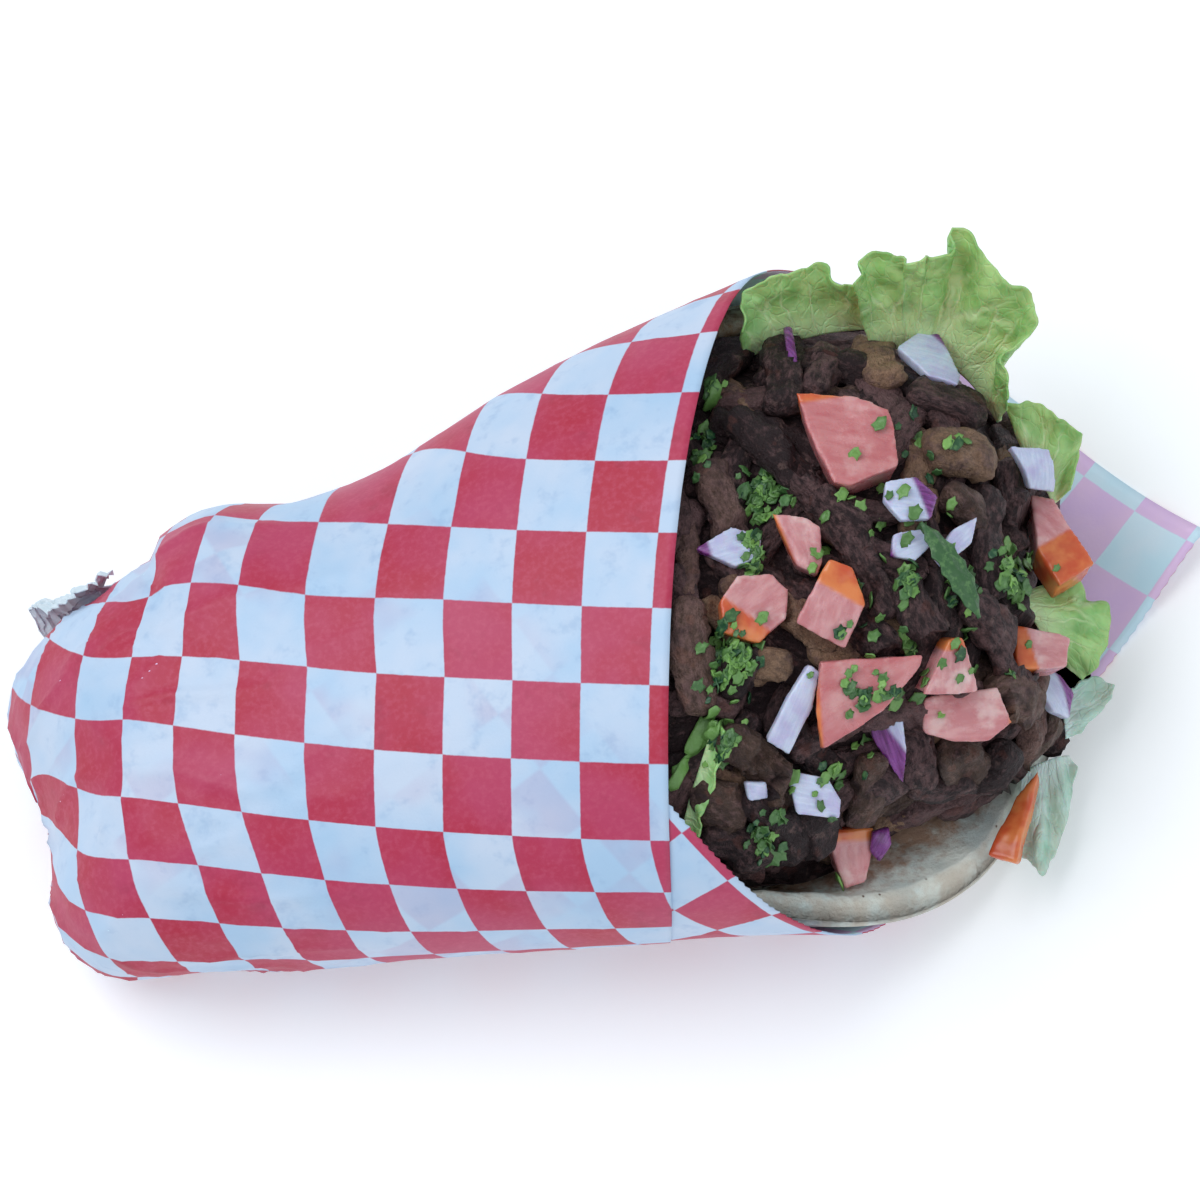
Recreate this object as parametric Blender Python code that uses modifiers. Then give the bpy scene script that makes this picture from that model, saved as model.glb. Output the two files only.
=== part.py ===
"""Beef gyro wrap, lying on its back with the filling upwards, in metres with +Z up.

A round flatbread is folded round a heap of beef strips and rolled into one square sheet of
checked paper. The roll is a cone: its tip would lie on the table at APEX_X, the tail end is
tucked shut, and +X points out of the mouth. The origin is on the flat of the paper's underside.
Lengths in this file are millimetres until MM turns them into metres.
"""

import math
import random

import bmesh
import bpy
import numpy as np
from mathutils import Euler, Matrix, Vector, noise

MM = 0.001
GAP = 0.35

# The cone that the paper makes. Widths and heights are per millimetre of distance from its tip.
APEX_X = -340.0
HALF_WIDTH = 0.169
HALF_HEIGHT = 0.100
BELLY = 0.106
SECTION_POWER = 2.3
TAIL_START = 251.0
TAIL_END = 222.5
TAIL_DROOP = 0.40
TAIL_SKEW = 4.5
TAIL_SLIMMER = 0.22
WAIST_X, WAIST_LENGTH, WAIST = -44.0, 30.0, 7.5
FLARE_START, FLARE_END, FLARE = 345.0, 400.0, 0.42

# The square sheet of paper, unrolled: its front corner and the direction of its two front edges.
CORNER = Vector((455.0, 10.0))
EDGE_PULL = 6.5
FAR_EDGE_ANGLE = math.radians(132.5)
NEAR_EDGE_ANGLE = math.radians(222.5)
PAPER_THICKNESS = 0.8
LIFT_OF_CORNER = 9.0

# The flatbread, unrolled: a disc.
BREAD_CENTRE = 336.0
BREAD_RADIUS = 88.5
BREAD_TURN = math.radians(1.0)
BREAD_THICKNESS = 6.0
BREAD_INSET = PAPER_THICKNESS + 0.8
HEAP_INSET = BREAD_INSET + BREAD_THICKNESS + 1.6

# The heap of filling in front of the mouth.
HEAP_TOP = 62.0
HEAP_FOOT = 8.0
HEAP_START, HEAP_LENGTH = 10.0, 79.0
HEAP_FAR_WIDTH, HEAP_NEAR_WIDTH, MOUTH_EXTRA_WIDTH = 60.0, 44.0, 8.0
MOUTH_EXTRA_HEIGHT = 4.0
FRONT_PULL, FRONT_MIDDLE = 9.0, 18.0
ROOF_INSET = 5.0
STEEPEST = 0.75
CORE_START, CORE_LENGTH, CORE_DROP = 246.0, 180.0, 1.8

RANDOM = random.Random(7)

BEEF = {"colour": (0.085, 0.042, 0.026), "roughness": 0.55}
BREAD = {"colour": (0.78, 0.70, 0.55), "roughness": 0.75}
PAPER = {"colour": (0.72, 0.80, 0.88), "roughness": 0.5}
FOIL = {"colour": (0.75, 0.77, 0.80), "roughness": 0.25, "metallic": 1.0}
TOMATO = {"colour": (0.75, 0.25, 0.20), "roughness": 0.3}
ONION = {"colour": (0.70, 0.66, 0.82), "roughness": 0.3}
LETTUCE = {"colour": (0.30, 0.50, 0.14), "roughness": 0.45}
HERB = {"colour": (0.06, 0.25, 0.05), "roughness": 0.5}


def smooth_step(low, high, value):
    """0 at low and 1 at high, which may be the smaller of the two."""
    t = min(max((value - low) / (high - low), 0.0), 1.0)
    return t * t * (3 - 2 * t)


# The rolled shape

def section_table(samples=1441):
    """Angle in the unrolled sheet, sideways place and height along the unit section, top round to top."""
    t = np.radians(np.linspace(-270.0, 90.0, samples))
    power = 2 / SECTION_POWER
    side = HALF_WIDTH * np.sign(np.cos(t)) * np.abs(np.cos(t)) ** power
    reach = np.where(np.sin(t) < 0, BELLY, HALF_HEIGHT)
    height = HALF_HEIGHT + reach * np.sign(np.sin(t)) * np.abs(np.sin(t)) ** power
    height = np.maximum(height, 0.0)
    step = np.hypot(np.diff(side), np.diff(height))
    angle = np.concatenate([[0.0], np.cumsum(step)])
    return angle - angle[samples // 2], side, height


SECTION_ANGLE, SECTION_SIDE, SECTION_HEIGHT = section_table()
HALF_TURN = float(SECTION_ANGLE[-1])
FULL_TURN = 2 * HALF_TURN


def rolled(distance, angle, inset=0.0):
    """The point at a distance from the cone's tip and an angle round the roll, moved inwards by inset."""
    angle = (angle + HALF_TURN) % FULL_TURN - HALF_TURN
    side = float(np.interp(angle, SECTION_ANGLE, SECTION_SIDE))
    height = float(np.interp(angle, SECTION_ANGLE, SECTION_HEIGHT))
    tuck = min(max((TAIL_START - distance) / (TAIL_START - TAIL_END - inset), 0.0), 1.0)
    wide = (1 - tuck**3.5) ** (1 / 3.5)
    tall = (1 - tuck**2) ** 0.5
    middle = HALF_HEIGHT * distance * (1 - TAIL_DROOP * tuck**2)
    y = side * (distance - inset / HALF_WIDTH) * wide
    z = middle + (height - HALF_HEIGHT) * (distance - inset / HALF_HEIGHT) * tall
    opened = smooth_step(FLARE_START, FLARE_END, distance) * smooth_step(0.0, 30.0, -y)
    z = max(z, inset) if opened == 0 else max(inset, inset + (z - inset) * (1 - FLARE * opened))
    y *= 1 - 0.02 * opened
    x = APEX_X + distance
    x += TAIL_SKEW * tuck * (1 - smooth_step(-8.0, 22.0, y))
    if y > 0:
        y -= TAIL_SLIMMER * y * smooth_step(68.0, 99.0, -x)
        y -= WAIST * smooth_step(0.0, 40.0, y) * math.exp(-(((x - WAIST_X) / WAIST_LENGTH) ** 2))
    return Vector((x, y, z))


def profile(x, inset, upper):
    """Sideways places, rising, and heights of the lower or upper half of the roll's section at x."""
    quarter = float(np.interp(HALF_WIDTH, SECTION_SIDE[720:1081], SECTION_ANGLE[720:1081]))
    if upper:
        angles = np.linspace(FULL_TURN - quarter, quarter, 41)
    else:
        angles = np.linspace(-quarter, quarter, 41)
    points = [rolled(x - APEX_X, angle, inset) for angle in angles]
    return np.array([p.y for p in points]), np.array([p.z for p in points])


def sheet_edge(angle):
    """Distance from the cone's tip to the edge of the paper at an angle round the roll."""
    reach = []
    for edge_angle in (NEAR_EDGE_ANGLE, FAR_EDGE_ANGLE):
        across = Vector((math.cos(edge_angle), math.sin(edge_angle)))
        slope = across.dot(Vector((math.cos(angle), math.sin(angle))))
        if slope < 0:
            reach.append(across.dot(CORNER) / slope)
    turn = math.degrees(abs(angle))
    pulled = EDGE_PULL * smooth_step(4.0, 15.0, turn) * (1 - 0.4 * smooth_step(16.0, 32.0, turn))
    return min(reach) - (pulled if angle > 0 else 0.0)


def overlap_angle():
    """Where the far side of the sheet, folded over last, and the near side under it have the same edge."""
    low, high = 0.0, FULL_TURN
    for _ in range(50):
        middle = (low + high) / 2
        if sheet_edge(middle) > sheet_edge(middle - FULL_TURN):
            low = middle
        else:
            high = middle
    return high


# The heap

def heap_half_width(x, y):
    along = min(max((x - 5.0) / 88.0, 0.0), 1.0)
    near = HEAP_NEAR_WIDTH + MOUTH_EXTRA_WIDTH * smooth_step(45.0, 10.0, x)
    width = near + (HEAP_FAR_WIDTH - near) * smooth_step(-15.0, 15.0, y)
    return width * max(1 - along**3.1, 1e-4) ** 0.5


def heap_height(x, y):
    """Top of the filling: under the roll where paper covers it, its front pulled back on the near side."""
    pulled = FRONT_PULL * smooth_step(22.0, 2.0, y) * smooth_step(60.0, 78.0, x)
    along = min(max((x + pulled - HEAP_START) / HEAP_LENGTH, 0.0), 1.0)
    top = HEAP_TOP + MOUTH_EXTRA_HEIGHT * smooth_step(26.0, 10.0, x)
    crown = HEAP_FOOT + (top - HEAP_FOOT) * (1 - along**4.5) ** 0.5
    across = min(abs(y) / heap_half_width(x, y), 1.0)
    foot = min(12.0, crown)
    z = foot + (crown - foot) * (1 - across ** (3.1 if y > 0 else 2.6)) ** 0.5
    if x < 30.0:
        places, heights = profile(x, ROOF_INSET, upper=True)
        z = min(z, float(np.interp(y, places, heights)))
    return z


def heap_normal(x, y, step=1.5):
    """Upright of what lies there: it never leans more than STEEPEST."""
    slope_x = (heap_height(x + step, y) - heap_height(x - step, y)) / (2 * step)
    slope_y = (heap_height(x, y + step) - heap_height(x, y - step)) / (2 * step)
    steep = math.hypot(slope_x, slope_y)
    share = min(1.0, STEEPEST / max(steep, 1e-6))
    return Vector((-slope_x * share, -slope_y * share, 1.0)).normalized()


def on_heap(x, y, sink, yaw, tilt=(0.0, 0.0)):
    """Where a topping lies: flat on the heap, sunk into it, then turned and tilted in degrees."""
    normal = heap_normal(x, y)
    place = Vector((x, y, heap_height(x, y))) - normal * sink
    upright = Vector((0, 0, 1)).rotation_difference(normal).to_matrix().to_4x4()
    turned = Euler([math.radians(angle) for angle in (*tilt, yaw)], "XYZ").to_matrix().to_4x4()
    return Matrix.Translation(place * MM) @ upright @ turned


def heap_sides(x, drop):
    """Where the top of the heap, lowered by drop, meets the bread on each side."""
    places, heights = profile(x, HEAP_INSET, upper=False)
    ends = []
    for outer in (places[0], places[-1]):
        inner = FRONT_MIDDLE * smooth_step(60.0, 78.0, x)
        for _ in range(40):
            middle = (inner + outer) / 2
            floor = float(np.interp(middle, places, heights))
            if heap_height(x, middle) - drop > floor + 0.5:
                inner = middle
            else:
                outer = middle
        ends.append(inner)
    return ends, places, heights


# Blender helpers

def clear_scene():
    for obj in list(bpy.data.objects):
        bpy.data.objects.remove(obj)


def new_collection(name, hidden=False):
    collection = bpy.data.collections.new(name)
    bpy.context.scene.collection.children.link(collection)
    collection.hide_render = hidden
    return collection


def material(name, colour, roughness, metallic=0.0):
    made = bpy.data.materials.get(name)
    if made is None:
        made = bpy.data.materials.new(name)
        made.use_nodes = True
        shader = made.node_tree.nodes["Principled BSDF"]
        shader.inputs["Base Color"].default_value = (*colour, 1.0)
        shader.inputs["Roughness"].default_value = roughness
        shader.inputs["Metallic"].default_value = metallic
    return made


def object_of(bm, name, collection, finish=None):
    mesh = bpy.data.meshes.new(name)
    bm.to_mesh(mesh)
    bm.free()
    obj = bpy.data.objects.new(name, mesh)
    collection.objects.link(obj)
    if finish:
        mesh.materials.append(material(finish[0], **finish[1]))
    mesh.shade_smooth()
    mesh.set_sharp_from_angle(angle=math.radians(50))
    return obj


def placed_grid(cells_u, cells_v, place):
    """A grid whose corners go where place(u, v) says in millimetres, with u and v from 0 to 1."""
    bm = bmesh.new()
    bmesh.ops.create_grid(bm, x_segments=cells_u, y_segments=cells_v, size=1.0)
    for vert in bm.verts:
        vert.co = Vector(place((vert.co.x + 1) / 2, (vert.co.y + 1) / 2)) * MM
    return bm


def closed_tube(cells_round, cells_along, place):
    """A grid rolled shut along u, with both ends filled."""
    bm = placed_grid(cells_round, cells_along, place)
    bmesh.ops.remove_doubles(bm, verts=bm.verts, dist=1e-6)
    bmesh.ops.holes_fill(bm, edges=bm.edges, sides=0)
    bmesh.ops.recalc_face_normals(bm, faces=bm.faces)
    return bm


def add_thickness(obj, thickness, offset=-1.0):
    shell = obj.modifiers.new("thickness", "SOLIDIFY")
    shell.thickness = thickness * MM
    shell.offset = offset


def bake_modifiers(obj):
    """Replaces the object's mesh by the one that its modifiers make."""
    graph = bpy.context.evaluated_depsgraph_get()
    mesh = bpy.data.meshes.new_from_object(obj.evaluated_get(graph))
    obj.modifiers.clear()
    obj.data = mesh


def join_or_cut(obj, operation, collection, solver="MANIFOLD"):
    """One Boolean with every object of a collection, applied, after which those objects are removed."""
    change = obj.modifiers.new(operation.lower(), "BOOLEAN")
    change.operation = operation
    change.operand_type = "COLLECTION"
    change.collection = collection
    change.solver = solver
    bake_modifiers(obj)
    for other in list(collection.objects):
        bpy.data.objects.remove(other)
    bpy.data.collections.remove(collection)


def keep_largest_body(obj):
    """Drops loose scraps and fills sealed hollows that the Booleans left."""
    bm = bmesh.new()
    bm.from_mesh(obj.data)
    bmesh.ops.remove_doubles(bm, verts=bm.verts, dist=0.03 * MM)
    bmesh.ops.triangulate(bm, faces=bm.faces)
    left, bodies = set(bm.faces), []
    while left:
        body, frontier = set(), [next(iter(left))]
        while frontier:
            face = frontier.pop()
            if face in body:
                continue
            body.add(face)
            for edge in face.edges:
                if len(edge.link_faces) == 2:
                    frontier.extend(other for other in edge.link_faces if other not in body)
        bodies.append(body)
        left -= body
    bodies.sort(key=len)
    scraps = [face for body in bodies[:-1] for face in body]
    bmesh.ops.delete(bm, geom=scraps, context="FACES")
    bm.to_mesh(obj.data)
    bm.free()


# Paper, foil and bread

def along_roll(v, edge, inset, share=0.3):
    """Distance from the cone's tip at v from 0, the tail, to 1, the edge, with close rows round the tail."""
    tail_end = TAIL_END + inset
    if v < share:
        return TAIL_START - (TAIL_START - tail_end) * math.cos(v / share * math.pi / 2)
    return TAIL_START + (edge - TAIL_START) * (v - share) / (1 - share)


def paper_point(u, v, cells_near=13, cells_far=19, inset=0.0):
    """The sheet between its two overlapping edges: u goes round from the near side to the far side."""
    far_end = overlap_angle()
    near_end = far_end - FULL_TURN
    front = math.atan2(CORNER.y, CORNER.x)
    split = cells_near / (cells_near + cells_far)
    if u < split:
        angle = near_end + (front - near_end) * u / split
    else:
        angle = front + (far_end - front) * (u - split) / (1 - split)
    edge = sheet_edge(angle)
    distance = along_roll(v, edge, inset)
    point = rolled(distance, angle, inset)
    raised = smooth_step(434.0, 462.0, distance) * smooth_step(0.0, 30.0, 30.0 - abs(point.y))
    point.z += LIFT_OF_CORNER * raised
    return point


def make_paper(collection, name="checked_paper", growth=0.0):
    """The sheet as one shell, welded where its two edges cross on top."""
    bm = placed_grid(32, 15, paper_point)
    bmesh.ops.remove_doubles(bm, verts=bm.verts, dist=2e-6)
    obj = object_of(bm, name, collection, ("paper", PAPER))
    add_thickness(obj, PAPER_THICKNESS + growth)
    return obj


def make_foil(collection):
    """A crumpled end of foil that shows at the far corner of the tail."""
    def place(u, v):
        base = rolled(236.0 + 13.0 * u, math.radians(8.5) + 0.11 * v, -1.2)
        lift = Vector((-0.8, 0.9, 0.35)).normalized()
        crumple = noise.noise(Vector((5 * u, 5 * v, 0.3)))
        return base + lift * (1.2 + 6.5 * (1 - abs(2 * v - 1)) * (1 - u) + 2.2 * abs(crumple))
    bm = placed_grid(7, 6, place)
    bmesh.ops.triangulate(bm, faces=bm.faces)
    obj = object_of(bm, "foil_end", collection, ("foil", FOIL))
    add_thickness(obj, 0.6, 1.0)
    return obj


def make_bread(collection, name="flatbread", growth=0.0):
    """A disc of flatbread laid against the inside of the roll. Growth makes it thicker and wider."""
    radius = BREAD_RADIUS + 2 * growth

    def place(u, v):
        a, b = 2 * u - 1, 2 * v - 1
        along = a * math.sqrt(1 - b * b / 2)
        across = b * math.sqrt(1 - a * a / 2)
        distance = BREAD_CENTRE + radius * along
        return rolled(distance, BREAD_TURN + radius * across / distance, BREAD_INSET)
    obj = object_of(placed_grid(14, 18, place), name, collection, ("bread", BREAD))
    add_thickness(obj, BREAD_THICKNESS + growth, 1.0)
    return obj


# Beef

def core_point(u, v):
    """The inside of the heap: its floor follows the bread and its top lies under the strips."""
    u = u % 1.0
    distance = CORE_START + CORE_LENGTH * (1 - (1 - v) ** 1.5)
    x = distance + APEX_X
    (near, far), places, heights = heap_sides(x, CORE_DROP)
    if u <= 0.5:
        y = near + (far - near) * (0.5 - 0.5 * math.cos(2 * math.pi * u))
        return Vector((x, y, float(np.interp(y, places, heights))))
    y = far + (near - far) * (0.5 - 0.5 * math.cos(2 * math.pi * (u - 0.5)))
    floor = float(np.interp(y, places, heights))
    return Vector((x, y, max(heap_height(x, y) - CORE_DROP, floor)))


# Each strip: x and y of its two ends, its width, and how far its middle bends sideways.
STRIPS = (
    (41, 56, 39, 30, 7.6, 1.5), (44, 53, 60, 50, 6.5, -1.5), (29, 32, 40, 14, 6.8, 1.0),
    (37, 20, 51, -14, 6.8, 2.0), (58, 48, 59, 33, 7.5, 0.5), (63, 33, 76, 29, 8.0, -1.5),
    (63, 18, 75, 16, 9.0, 0.8), (79, 19, 75, 3, 7.5, 1.0), (74, 13, 70, -11, 7.0, -1.5),
    (65, -11, 72, -25, 7.5, 1.5), (66, -28, 74, -27, 8.5, 1.5), (57, -33, 62, -36, 8.5, -1.0),
    (50, -32, 50, -38, 8.0, 0.8), (39, -37, 45, -39, 7.0, 1.0), (48, -38, 60, -36, 6.5, -1.0),
    (15, -29, 26, -40, 7.5, 0.8), (8, -37, 17, -42, 8.5, 0.0), (28, -40, 30, -45, 8.5, 0.5),
    (23, -18, 31, -20, 5.6, 0.5), (15, -4, 13, -26, 7.0, -1.0), (22, 23, 25, 3, 7.0, 1.0),
    (24, -13, 17, -23, 6.5, 1.0), (43, -13, 50, -21, 6.2, 0.6), (54, -7, 59, -19, 6.5, -1.0),
    (43, -34, 37, -42, 6.5, 0.8), (74, -3, 72, -17, 7.0, 1.0), (69, -32, 60, -37, 7.0, 0.8),
    (18, -38, 25, -46, 8.0, 0.5), (42, 13, 50, 2, 6.2, -0.6), (65, 10, 74, 1, 6.5, 0.6),
    (8, -43, 18, -47, 7.0, 0.5), (22, 38, 34, 52, 7.0, -1.0), (47, -1, 59, -7, 6.2, 1.0),
    (75, -9, 73, -24, 6.5, -0.6), (50, 45, 45, 33, 6.5, 0.6), (12, 45, 14, 28, 7.0, -0.6),
)
STRIP_THICKNESS = 0.84


def strip_ring_point(strip, u, v, rise=0.0):
    """A point on the skin of one strip: u round it, v along it."""
    x0, y0, x1, y1, width, bend = strip
    start, end = Vector((x0, y0)), Vector((x1, y1))
    run = end - start
    across = Vector((-run.y, run.x)).normalized()
    bow = bend * math.sin(math.pi * v)
    flat = start + run * v + across * bow
    middle = Vector((*flat, heap_height(*flat) + rise))
    normal = heap_normal(*flat)
    forward = Vector((*run.normalized(), 0.0))
    sideways = normal.cross(forward).normalized()
    taper = 0.72 + 0.28 * math.sin(math.pi * min(max(v * 1.1 - 0.05, 0.0), 1.0)) ** 0.5
    lumpy = 1 + 0.16 * noise.noise(Vector((x0 + 4 * v, y0, 3 * math.cos(2 * math.pi * u))))
    radius = width / 2 * taper * lumpy
    turn = 2 * math.pi * u
    out = sideways * math.cos(turn) + normal * (STRIP_THICKNESS * math.sin(turn))
    return middle + out * radius


def make_beef(collection):
    heap = object_of(closed_tube(22, 13, core_point), "beef_heap", collection, ("beef", BEEF))
    strips = new_collection("strips", hidden=True)
    for number, strip in enumerate(STRIPS):
        rise = RANDOM.uniform(-0.6, 1.2)
        bm = closed_tube(5, 3, lambda u, v: strip_ring_point(strip, u, v, rise))
        object_of(bm, f"strip_{number}", strips)
    for number, (x, y) in enumerate(HERB_CLUMPS):
        bm = bmesh.new()
        bmesh.ops.create_icosphere(bm, subdivisions=1, radius=MM)
        bmesh.ops.scale(bm, vec=CLUMP_RADII, verts=bm.verts)
        clump = object_of(bm, f"clump_{number}", strips)
        clump.matrix_world = on_heap(x, y, CLUMP_SINK, RANDOM.uniform(0, 180))
    join_or_cut(heap, "UNION", strips)
    return heap


# Toppings

def tomato_chunk(size, taper, seed, growth=0.0):
    """A diced piece: a block with soft edges, narrower at one end, its faces a little hollow or proud."""
    bm = bmesh.new()
    bmesh.ops.create_cube(bm, size=2.0)
    bmesh.ops.subdivide_edges(bm, edges=bm.edges, cuts=1, use_grid_fill=True)
    for vert in bm.verts:
        point = vert.co.copy()
        point = point.lerp(point.normalized() * 1.25, 0.22)
        point.yz *= 1 - taper * point.x
        ripple = noise.noise(point * 0.9 + Vector((seed, seed * 1.7, 0.0)))
        point *= 1 + 0.12 * ripple
        vert.co = Vector(point[i] * (size[i] + growth) / 2 for i in range(3)) * MM
    return bm


def onion_petal(size, curl, skew, growth=0.0):
    """A cut piece of one onion layer: an arched plate, skewed where the knife ran aslant."""
    length, width, _ = size

    def place(u, v):
        a, b = 2 * u - 1, 2 * v - 1
        x = (length + growth) / 2 * (a + skew * b)
        y = (width + growth) / 2 * b * (1 - 0.12 * a)
        arch = curl * (1 - a * a) + 0.5 * curl * (1 - b * b)
        return Vector((x, y, arch))
    bm = placed_grid(4, 2, place)
    bmesh.ops.triangulate(bm, faces=bm.faces, quad_method="FIXED")
    return bm


# Name, x, y, size, narrowing, yaw, tilt and how deep it sinks.
TOMATOES = (
    ("tomato_1", 49.4, 20.5, (19, 15, 9), 0.16, -20, (6, 0), 0.6),
    ("tomato_2", 36.2, 4, (12.5, 8.5, 8), -0.12, -78, (0, 8), 1.2),
    ("tomato_3", 25.4, -7.8, (11.5, 11, 8), 0.10, 30, (10, 5), 1.0),
    ("tomato_4", 41.5, -11.2, (14, 11, 9), 0.20, 62, (0, -10), 1.0),
    ("tomato_5", 43.8, -25.2, (17.5, 10.5, 8), 0.42, 18, (-8, 4), 0.6),
    ("tomato_6", 59, -21.3, (10, 9, 7), 0.16, 80, (6, 0), 1.2),
    ("tomato_7", 61.5, -31.3, (15.5, 8.5, 8), -0.10, -4, (-10, 0), 1.0),
    ("tomato_8", 80, 6.5, (15, 10, 8), 0.12, -52, (0, -30), -8.5),
    ("tomato_9", 75, -17.5, (11.5, 8.5, 7), 0.05, -14, (0, -12), -0.5),
    ("tomato_10", 35.0, -44, (9, 7, 7), 0.15, -95, (0, 0), 1.5),
    ("tomato_strip", 67, -44, (21, 5, 4), -0.22, -123, (14, 0), -3.5),
)
ONIONS = (
    ("onion_1", 67, 37.5, (12, 9, 2.6), 1.6, 0.18, -25, (0, 0), -1.6),
    ("onion_2", 59.5, 7, (10, 8, 5.5), 0.8, 0.05, -12, (0, 6), 0.8),
    ("onion_3", 65.5, 0.5, (11, 5.5, 3.2), 1.2, 0.30, 38, (0, 0), 0.2),
    ("onion_4", 55.5, -2.2, (9, 8, 2.6), 1.8, 0.0, 15, (10, 0), 0.8),
    ("onion_5", 23.8, 5, (12.5, 7, 2.6), 1.6, 0.2, 10, (0, 5), 0.4),
    ("onion_6", 27, -28, (16, 5, 3.0), 1.6, 0.1, 58, (8, 0), 0.2),
    ("onion_7", 30, -38.5, (10.5, 8.5, 4.6), 1.2, 0.2, -22, (-10, 0), 0.6),
    ("onion_8", 50, -34.5, (13, 6, 2.6), 2.2, 0.25, -78, (12, 0), 0.0),
    ("onion_9", 81.5, 18.3, (8.5, 8.5, 3.4), 0.8, 0.05, -88, (0, 12), 0.0),
    ("onion_10", 77, -26.5, (10, 8, 2.6), 1.8, 0.15, -60, (-10, 0), 0.0),
    ("onion_11", 44.3, 43, (7, 3.4, 2.4), 0.8, 0.1, -70, (0, 0), -1.0),
    ("onion_12", 45.5, -40.5, (8, 4, 2.4), 0.9, 0.1, 50, (0, 0), 0.8),
    ("onion_13", 20, -37.5, (6, 4.6, 2.8), 0.6, 0.1, -20, (0, 0), 0.2),
)

# Leaves: the foot line, the outer edge line, ruffle depth, waves along the edge, and cells.
LEAVES = (
    ("lettuce_back", ((34, 48, 46), (46, 50.5, 44), (60, 51.5, 40)),
     ((35.5, 53.5, 56), (46, 60.5, 57), (61, 61.5, 54)), 1.6, 2.5, (8, 5)),
    ("lettuce_big", ((58.5, 45.5, 42), (71, 42.5, 40), (79.5, 28.5, 37)),
     ((58.5, 56, 60), (78, 57.5, 60), (88.5, 41, 49)), 2.4, 3.5, (11, 7)),
    ("lettuce_right", ((83, 24, 33), (85, 18, 31), (86.5, 13, 28)),
     ((87.5, 30, 41), (96, 23, 37), (91.5, 14, 30)), 1.3, 2.0, (7, 4)),
    ("lettuce_fan", ((77.5, -4, 29), (77.5, -9, 33), (81.5, -15.5, 22)),
     ((87.5, -4, 23), (94.5, -11.5, 25), (87.5, -20, 18)), 1.3, 2.5, (8, 5)),
    ("lettuce_rib", ((80.5, -19, 13.5), (80.5, -23, 13), (80, -28, 12)),
     ((88, -17, 15), (93, -21, 12.5), (86.5, -28.5, 11)), 0.6, 1.5, (5, 4)),
    ("lettuce_pale", ((70.5, -33, 12), (75.5, -31.5, 12), (80, -31, 11)),
     ((66.5, -48, 10), (71, -54, 9), (79, -42, 10)), 1.2, 2.5, (7, 6)),
    ("lettuce_shred", ((5, -43, 49), (9, -37, 54), (15, -27, 60)),
     ((7, -46, 50), (11, -40, 55), (17, -30, 61)), 0.8, 1.5, (8, 2)),
)
HERBS = (
    ("herb_leaf", 62, -7, (21, 6.0), -66, -3.9, 1.6),
    ("herb_sprig", 20, -45, (10, 9), 40, -1.4, 2.0),
)
# Chopped herb that lies fused on the beef: x and y of each clump.
HERB_CLUMPS = (
    (32, 14), (36, 17), (28, 3), (29, 9), (21, -16), (18, -20), (23, -23), (24, -12), (56, -8),
    (54, -19), (27, 38), (23, 29), (16, -30), (70, -12), (20, -42), (61, 25),
)
CLUMP_RADII = (3.2, 2.4, 3.0)
CLUMP_SINK = -0.5


def line_point(points, t):
    """A smooth line through three points."""
    a, b, c = (Vector(p) for p in points)
    return a * (1 - t) * (1 - 2 * t) + b * 4 * t * (1 - t) + c * t * (2 * t - 1)


def leaf_point(foot, rim, ruffle, waves, u, v):
    base, edge = line_point(foot, u), line_point(rim, u)
    point = base.lerp(edge, v)
    along = (line_point(foot, min(u + 0.02, 1.0)) - line_point(foot, max(u - 0.02, 0.0))).normalized()
    face = along.cross((edge - base).normalized()).normalized()
    wave = math.sin(2 * math.pi * waves * u + 1.3 * v) * v
    notch = noise.noise(Vector((7 * u, foot[0][0], 0.5))) * 0.10 * v
    return point + face * ruffle * wave + (edge - base) * notch


def leaf_sheet(row, spill=0.0):
    """A leaf's mid surface, running past its outline by spill."""
    name, foot, rim, ruffle, waves, cells = row
    du, dv = 1 / cells[0], 1 / cells[1]

    def place(u, v):
        point = leaf_point(foot, rim, ruffle, waves, u, v)
        inside = (min(max(u, du), 1 - du), min(max(v, dv), 1 - dv))
        inner = leaf_point(foot, rim, ruffle, waves, *inside)
        return point + (point - inner).normalized() * spill
    bm = placed_grid(*cells, place)
    bmesh.ops.triangulate(bm, faces=bm.faces, quad_method="FIXED")
    return name, bm


def herb_sheet(size, arch):
    def place(u, v):
        a, b = 2 * u - 1, 2 * v - 1
        width = size[1] / 2 * max(1 - abs(a) ** 2.4, 0.12)
        return Vector((size[0] / 2 * a, width * b, arch * (1 - a * a) - 0.5 * abs(b)))
    bm = placed_grid(6, 2, place)
    bmesh.ops.triangulate(bm, faces=bm.faces, quad_method="FIXED")
    return bm


LEAF_THICKNESS, HERB_THICKNESS = 0.9, 0.8


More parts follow.
